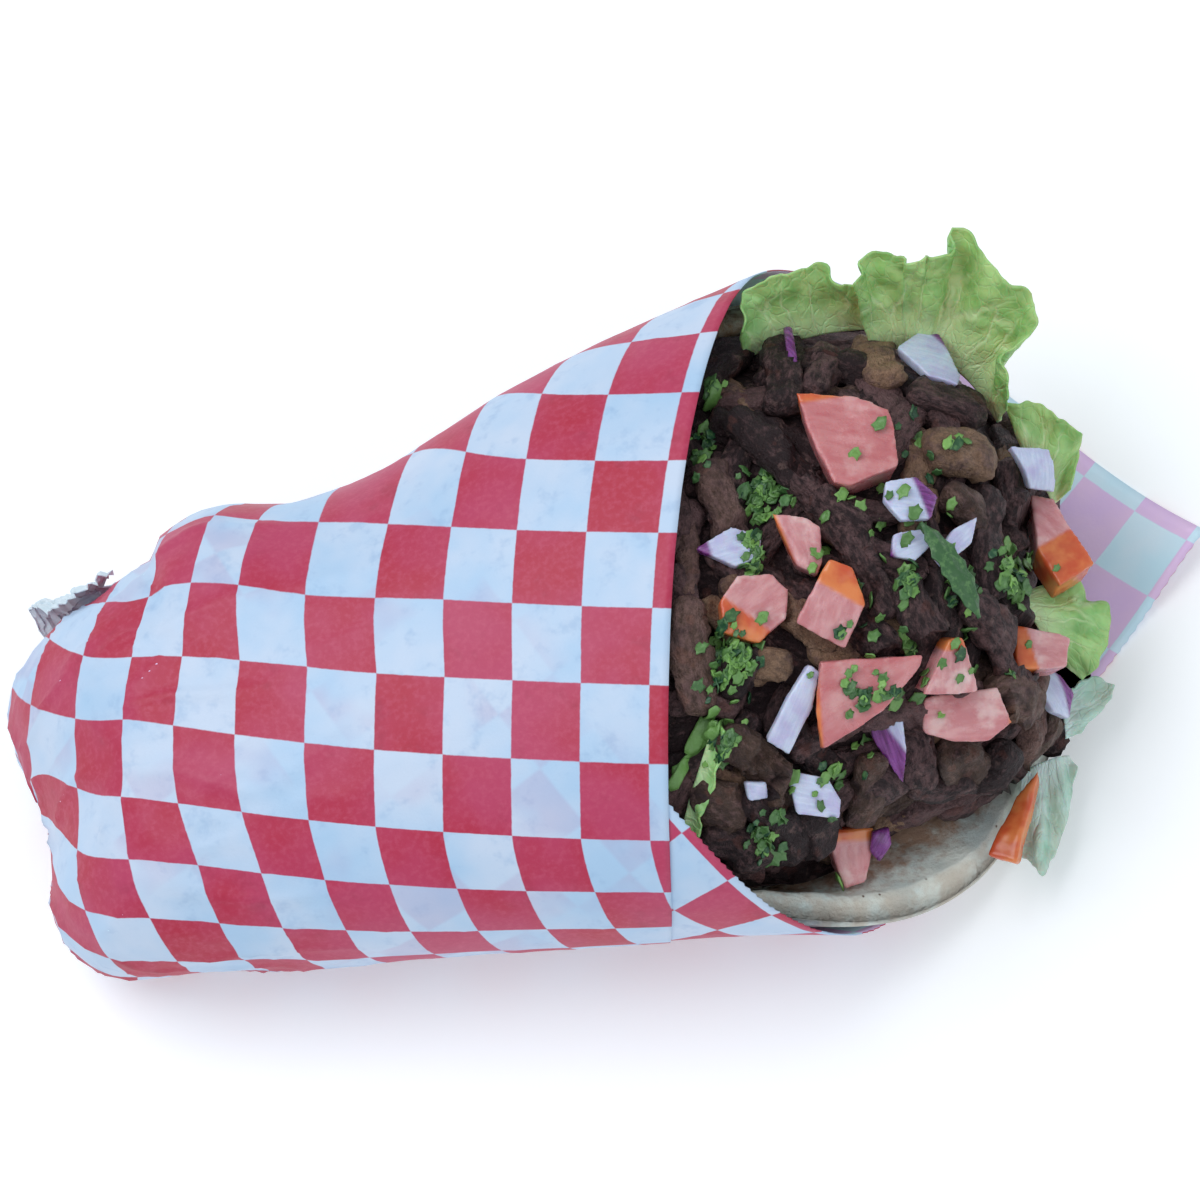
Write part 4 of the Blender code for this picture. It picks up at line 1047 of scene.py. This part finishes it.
def skin_share(matrix, local, skin, blur):
    """1 on the side of a piece that its skin covers, by the skin's direction and place."""
    angle = math.radians(skin[0]) - VIEW_ROLL
    axis = in_plane(matrix, math.cos(angle), math.sin(angle))
    along = local[:, :2] @ (axis / np.linalg.norm(axis))
    low, high = along.min(), along.max()
    return smooth(-blur, blur, along - (low + high) / 2 - skin[1] * (high - low))


def shaped_tomato(local, number, flat):
    """A cube's soft, uneven faces."""
    local[:, 2] += 0.7 * wave(local * (1, 1, 0), 6.0, number * 2.1) + 0.18 * wave(local, 1.8, number)
    local[:, :2] *= (1 + 0.03 * wave(local, 3.0, number * 3.3))[:, None]


def shaped_onion(local, number, flat):
    """The arch of a slice of a layer."""
    middle = flat.mean(axis=0)
    arch = 1 - ((local[:, 0] - middle[0]) / np.abs(flat - middle).max(axis=0)[0]) ** 2
    local[:, 2] += 0.9 * arch + 0.3 * wave(local, 5.0, number * 1.9)


# How each kind is made: the start of its names, its slot, finish, rows and own shape. Then the share of
# its thickness that sinks in, its greatest thickness, its cut, its skin's blur and its grain's shift.
KINDS = (
    ("diced_", "tomato", tomato_finish, TOMATOES, shaped_tomato, 0.2, 99.0, (0.86, 4, 0.55), 0.35, 9.1),
    ("sliced_", "onion", onion_finish, ONIONS, shaped_onion, 0.4, 2.2, (0.92, 3, 0.42), 0.5, 5.3),
)


def make_toppings():
    rooms, shapes = [], []
    for name_start, slot, make_finish, rows, shaped, sunk, thickest, cut, blur, shift in KINDS:
        finish = make_finish()
        for number, (name, x, y, size, yaw, tilt, sink, outline, skin, *red) in enumerate(rows):
            matrix = on_heap(x, y, sink - size[2] * sunk, yaw, tilt)
            top = size[2] / 2
            flat = np.array([on_plane(matrix, top, *spot) for spot in outline])
            local, faces = chunk(flat, top, top - min(size[2], thickest), *cut)
            shaped(local, number, flat)
            values = {"skin": skin_share(matrix, local, skin, blur), "grain": local + number * shift}
            if red:
                values["tone"] = red[0]
            shape = Shape()
            shape.add(moved(local, matrix), faces, **values)
            shape.make(name_start + name, slot, [finish], [name])
            shapes.append(shape)
            rooms.append((matrix, size))
    return rooms, shapes


# Leaves

# The foot line and the height of the rim's three points, as in the model's source; the rim itself is
# given as the picture shows it. Then how far it ruffles, in how many waves, and its columns and rows.
LEAVES = (
    ("lettuce_back", ((34, 48, 46), (46, 50.5, 44), (60, 51.5, 40)), (56, 57, 54),
     ((737, 332), (741, 308), (752, 290), (764, 279), (779, 272), (800, 271), (824, 268), (836, 277),
      (846, 280), (858, 290), (868, 300)),
     1.6, 2.5, (70, 40)),
    ("lettuce_big", ((58.5, 45.5, 42), (71, 42.5, 40), (79.5, 28.5, 37)), (60, 60, 49),
     ((846, 284), (855, 263), (868, 258), (884, 260), (904, 268), (912, 258), (924, 252), (938, 255),
      (949, 254), (953, 246), (958, 233), (966, 238), (980, 252), (993, 266), (1010, 281), (1025, 296),
      (1029, 318), (1022, 341), (1008, 359), (1004, 378), (1003, 399)),
     2.4, 3.5, (110, 60)),
    ("lettuce_right", ((83, 24, 33), (85, 18, 31), (86.5, 13, 28)), (41, 37, 30),
     ((1003, 399), (1012, 402), (1029, 400), (1044, 406), (1062, 418), (1083, 432), (1080, 452),
      (1072, 486)),
     1.3, 2.0, (60, 36)),
    ("lettuce_fan", ((77.5, -4, 29), (77.5, -9, 33), (81.5, -15.5, 22)), (23, 25, 18),
     ((1068, 576), (1080, 583), (1094, 596), (1106, 611), (1111, 628), (1108, 645), (1098, 660),
      (1084, 681)),
     1.3, 2.5, (70, 40)),
    ("lettuce_rib", ((80.5, -19, 13.5), (80.5, -23, 13), (80, -28, 12)), (15, 12.5, 11),
     ((1082, 682), (1100, 676), (1118, 685), (1114, 698), (1098, 717), (1082, 733)),
     0.6, 1.5, (44, 30)),
    ("lettuce_pale", ((70.5, -33, 12), (75.5, -31.5, 12), (80, -31, 11)), (10, 9, 10),
     ((1016, 850), (1032, 863), (1042, 878), (1050, 866), (1060, 846), (1070, 812), (1076, 790),
      (1078, 768)),
     1.2, 2.5, (70, 46)),
    ("lettuce_shred", ((5, -43, 49), (9, -37, 54), (15, -27, 60)), (50, 55, 61), (), 0.8, 1.5, (60, 12)),
)
SHRED_RIM = ((7, -46, 50), (11, -40, 55), (17, -30, 61))


def line_point(points, t):
    """A smooth line through three points or numbers."""
    a, b, c = (np.asarray(p, float) for p in points)
    t = np.asarray(t, float)
    if a.ndim:
        t = t[..., None]
    return a * (1 - t) * (1 - 2 * t) + b * 4 * t * (1 - t) + c * t * (2 * t - 1)


def make_leaf(name, foot, heights, rim, ruffle, waves, cells, finish):
    u, v = np.linspace(0, 1, cells[0]), np.linspace(0, 1, cells[1])
    base = line_point(foot, u)
    if rim:
        seen = np.array([sight(*spot) for spot in rim])
        along = np.concatenate([[0], np.cumsum(np.linalg.norm(np.diff(seen, axis=0), axis=1))])
        x, rise = (np.interp(u, along / along[-1], seen[:, i]) for i in (0, 1))
        z = line_point(heights, u)
        edge = packed(x, (rise - z * math.cos(VIEW_DOWN)) / math.sin(VIEW_DOWN), z)
    else:
        edge = line_point(SHRED_RIM, u)
    uu, vv = u[:, None], v[None, :]
    points = base[:, None] + (edge - base)[:, None] * vv[..., None]
    reach = np.linalg.norm(edge - base, axis=1)[:, None]
    face = grid_normals(points)
    ripple = ruffle * np.sin(2 * math.pi * waves * uu + 1.3 * vv) * vv * (1 - 0.35 * vv)
    long = np.linalg.norm(np.diff(edge, axis=0), axis=1).sum()
    leaf = packed(uu * long, vv * reach, 0.0)
    ripple = ripple + 0.9 * wave(leaf, 5.0, 1.0) * smooth(0.0, 0.5, vv)
    ripple = ripple + 0.45 * wave(leaf, 2.2, 4.0) * smooth(0.1, 0.9, vv)
    frill = 0.5 * np.sin(2 * math.pi * uu * long / 8.0 + 3 * wave(leaf, 9.0, 8.0)) * smooth(0.6, 1.0, vv)
    points = points + face * (ripple + frill)[..., None]
    notch = 0.8 * wave(leaf * (1, 0, 0), 2.4, 6.0) * smooth(0.8, 1.0, vv)
    points = points + ((edge - base) / np.maximum(reach, 1e-6))[:, None] * notch[..., None]
    half = grid_normals(points) * (0.20 + 0.35 * smooth(0.3, 0.0, vv))[..., None]
    shape = Shape()
    add_sheet(shape, points + half, points - half, leaf=leaf, rim=np.broadcast_to(vv, points.shape[:2]))
    shape.make(name + "_leaf", "lettuce", [finish], [name])
    return shape


def make_lettuce():
    fresh = lettuce_finish("romaine_green", (162, 208, 130), (116, 176, 94), (204, 226, 172))
    pale = lettuce_finish("romaine_heart", (186, 218, 204), (164, 204, 184), (214, 232, 226))
    shapes = []
    for row in LEAVES:
        finish = pale if row[0] in ("lettuce_pale", "lettuce_rib") else fresh
        shapes.append(make_leaf(*row, finish))
    return shapes


# Herbs

# Name, x, y, size, yaw and how deep it sinks, as in the model's source, then how it arches and its tone.
HERBS = (
    ("herb_leaf", 62, -7, (21, 6.0), -66, -3.9, 1.6, 0.12),
    ("herb_sprig", 20, -45, (10, 9), 40, -1.4, 2.0, 0.3),
)
# Where chopped parsley lies in the picture: middle, spread and number of bits.
SPRINKLES = (
    ((760, 495), (26, 26), 30), ((750, 555), (12, 26), 14), ((730, 655), (30, 42), 44), ((905, 580),
    (10, 20), 12),
    ((1012, 575), (24, 34), 26), ((760, 832), (20, 24), 16), ((820, 896), (30, 14), 16), ((1003, 797),
    (8, 8), 7),
    ((712, 396), (10, 16), 8), ((905, 645), (9, 8), 6), ((700, 440), (14, 34), 10), ((870, 690),
    (34, 26), 9),
    ((880, 520), (90, 90), 16), ((900, 640), (110, 110), 22), ((960, 590), (16, 30), 10), ((722, 745),
    (22, 26), 12),
    ((845, 770), (60, 40), 10), ((930, 440), (50, 30), 8),
)
# Both ends in the picture, and the width, of each blade-like bit.
BLADES = (
    ((712, 702), (668, 786), 2.6), ((728, 716), (690, 748), 2.2),
    ((700, 738), (672, 772), 2.0), ((716, 384), (704, 412), 2.4),
)
# Corners round a bit, how many more there are than the table says, how much closer they lie, their sizes.
LEAFLET_POINTS, MORE_BITS, CLOSER, BIT_SIZES = 11, 1.7, 2.2, (1.6, 4.0)


def set_down(tree, px, py):
    """The first thing that the picture's line of sight meets there: its point and its normal."""
    x, rise = sight(px, py)
    start = Vector((x, rise * math.sin(VIEW_DOWN), rise * math.cos(VIEW_DOWN))) + TO_CAMERA * 300
    point, normal, _, _ = tree.ray_cast(start, -TO_CAMERA)
    if point is None:
        return None, None
    return point, normal if normal.dot(TO_CAMERA) > 0 else -normal


def add_leaflet(shape, point, normal, size, seed, draw, tone):
    """One scrap of a parsley leaf: three lobes, cupped, lying or standing askew."""
    n, half = LEAFLET_POINTS, 2 * LEAFLET_POINTS + 1
    spin = draw.uniform(0, 2 * math.pi)
    lean = Vector((draw.uniform(-1, 1), draw.uniform(-1, 1), draw.uniform(-0.4, 0.6))) * 0.65
    up = (normal + lean).normalized()
    side = up.orthogonal().normalized()
    frame_axes = np.array([side, up.cross(side), up])
    ring = []
    for i in range(n):
        angle = 2 * math.pi * i / n
        lobe = 0.62 + 0.38 * math.cos(3 * angle) ** 2 * draw.uniform(0.6, 1.2)
        x, y = math.cos(angle + spin) * 1.15, math.sin(angle + spin) * 0.8
        ring.append((size / 2 * lobe * x, size / 2 * lobe * y, draw.uniform(0.1, 0.5) * size * 0.3))
    ring = np.array(ring)
    top = np.concatenate([ring, ring * (0.5, 0.5, 0.3), [(0, 0, 0)]])
    top[:, 2] += 0.35
    local = np.concatenate([top, top - (0, 0, 0.28)])
    corners = local @ frame_axes + np.array(point)
    faces = []
    for i in range(n):
        j = (i + 1) % n
        above = [[i, j, n + j, n + i], [n + i, n + j, 2 * n]]
        below = [[j, i, n + i, n + j], [n + j, n + i, 2 * n]]
        faces += above + [[half + corner for corner in face] for face in below]
        faces.append([j, i, half + i, half + j])
    shape.add(corners, faces, grain=corners + seed, tone=tone)


def make_herbs(tree):
    draw = random.Random(11)
    finish = herb_finish()
    for name, x, y, size, yaw, sink, arch, tone in HERBS:
        matrix = on_heap(x, y, sink, yaw)
        u, v = np.meshgrid(np.linspace(-1, 1, 60), np.linspace(-1, 1, 21), indexing="ij")
        notches = 1 - 0.22 * np.abs(np.sin(9 * u)) * np.abs(v)
        width = size[1] / 2 * np.clip(1 - np.abs(u) ** 2.4, 0.10, 1) * notches
        local = packed(size[0] / 2 * u, width * v, arch * (1 - u * u) - 0.5 * np.abs(v))
        local[..., 2] += 0.35 * wave(local, 2.2, x)
        half = grid_normals(local) * 0.18
        front, back = moved(local + half, matrix), moved(local - half, matrix)
        shape = Shape()
        add_sheet(shape, front, back, grain=local, tone=np.full(u.shape, tone))
        shape.make("parsley_" + name, "herb", [finish], [name])
    bits = Shape()
    for number, ((px, py), (wide, high), count) in enumerate(SPRINKLES):
        for _ in range(int(count * MORE_BITS)):
            spot = draw.gauss(px, wide / CLOSER), draw.gauss(py, high / CLOSER)
            point, normal = set_down(tree, *spot)
            tone = min(max(draw.gauss(0.42, 0.32), 0.0), 1.0)
            if point is not None and point.x > 6.0:
                add_leaflet(bits, point, normal, draw.uniform(*BIT_SIZES), number * 3.3, draw, tone)
    for (ax, ay), (bx, by), width in BLADES:
        path = []
        for t in np.linspace(0, 1, 12):
            point, normal = set_down(tree, ax + (bx - ax) * t, ay + (by - ay) * t)
            if point is not None:
                path.append((*(point + normal * 0.8), *normal))
        if len(path) > 3:
            add_strip(bits, path, width, 0.25, ax * 0.1, tone=0.62, lumps=0.1)
            bits.values.pop("tan")
    bits.make("chopped_parsley", "herb", [finish])


# Stage, with lengths in metres

FLOOR_SIZE, FLOOR_WHITE, FLOOR_GLOW = 8.0, (0.96, 0.97, 0.98, 1.0), 0.16
SKY_COLOUR, SKY_STRENGTH, LAMP_COLOUR = (0.86, 0.93, 1.0, 1.0), 0.6, (0.94, 0.97, 1.0)
# Name, place, size and power of each lamp.
LAMPS = (("key", (-0.7, 0.5, 1.6), 1.4, 17.5), ("fill", (1.1, -1.2, 1.3), 1.6, 8.0))
LENS, CAMERA_DISTANCE, AIM = 317.0, 2.0, (-0.0015, 0.0095, 0.036)


def make_stage():
    bpy.ops.mesh.primitive_plane_add(size=FLOOR_SIZE)
    floor = bpy.context.object
    floor.name = "floor"
    finish = Finish("floor_white", Roughness=0.9, Specular_IOR_Level=0.1)
    finish.feed(Base_Color=FLOOR_WHITE, Emission_Color=(1.0, 1.0, 1.0, 1.0), Emission_Strength=FLOOR_GLOW)
    floor.data.materials.append(finish.material)
    world = bpy.data.worlds.new("soft_daylight")
    bpy.context.scene.world = world
    world.use_nodes = True
    sky = world.node_tree.nodes["Background"]
    sky.inputs["Color"].default_value, sky.inputs["Strength"].default_value = SKY_COLOUR, SKY_STRENGTH
    for name, place, size, power in LAMPS:
        light = bpy.data.lights.new(name, "AREA")
        light.size, light.energy, light.color = size, power, LAMP_COLOUR
        lamp = bpy.data.objects.new(name, light)
        bpy.context.scene.collection.objects.link(lamp)
        lamp.location = place
        lamp.rotation_euler = (-Vector(place)).to_track_quat("-Z", "Y").to_euler()


def make_camera():
    data = bpy.data.cameras.new("camera")
    data.sensor_width, data.lens, data.clip_end = 36.0, LENS, 100.0
    camera = bpy.data.objects.new("camera", data)
    bpy.context.scene.collection.objects.link(camera)
    turned = (-TO_CAMERA).to_track_quat("-Z", "Y").to_matrix().to_4x4()
    turned = turned @ Matrix.Rotation(-VIEW_ROLL, 4, "Z")
    camera.matrix_world = Matrix.Translation(Vector(AIM) + TO_CAMERA * CAMERA_DISTANCE) @ turned
    bpy.context.scene.camera = camera


def tree_of(shapes):
    corners, faces, count = [], [], 0
    for shape in shapes:
        corners.append(shape.points())
        faces += [[i + count for i in face] for face in shape.faces]
        count += shape.count
    return BVHTree.FromPolygons([Vector(p) for p in np.concatenate(corners)], faces)


def main():
    bpy.context.scene.view_settings.view_transform = "Standard"
    make_camera()
    make_stage()
    make_paper()
    make_foil()
    make_bread()
    rooms, shapes = make_toppings()
    beef = make_beef(rooms)
    beef.make("beef_strips", "beef", [beef_finish()], ["beef_heap"])
    leaves = make_lettuce()
    make_herbs(tree_of([beef, *shapes, *leaves]))


main()
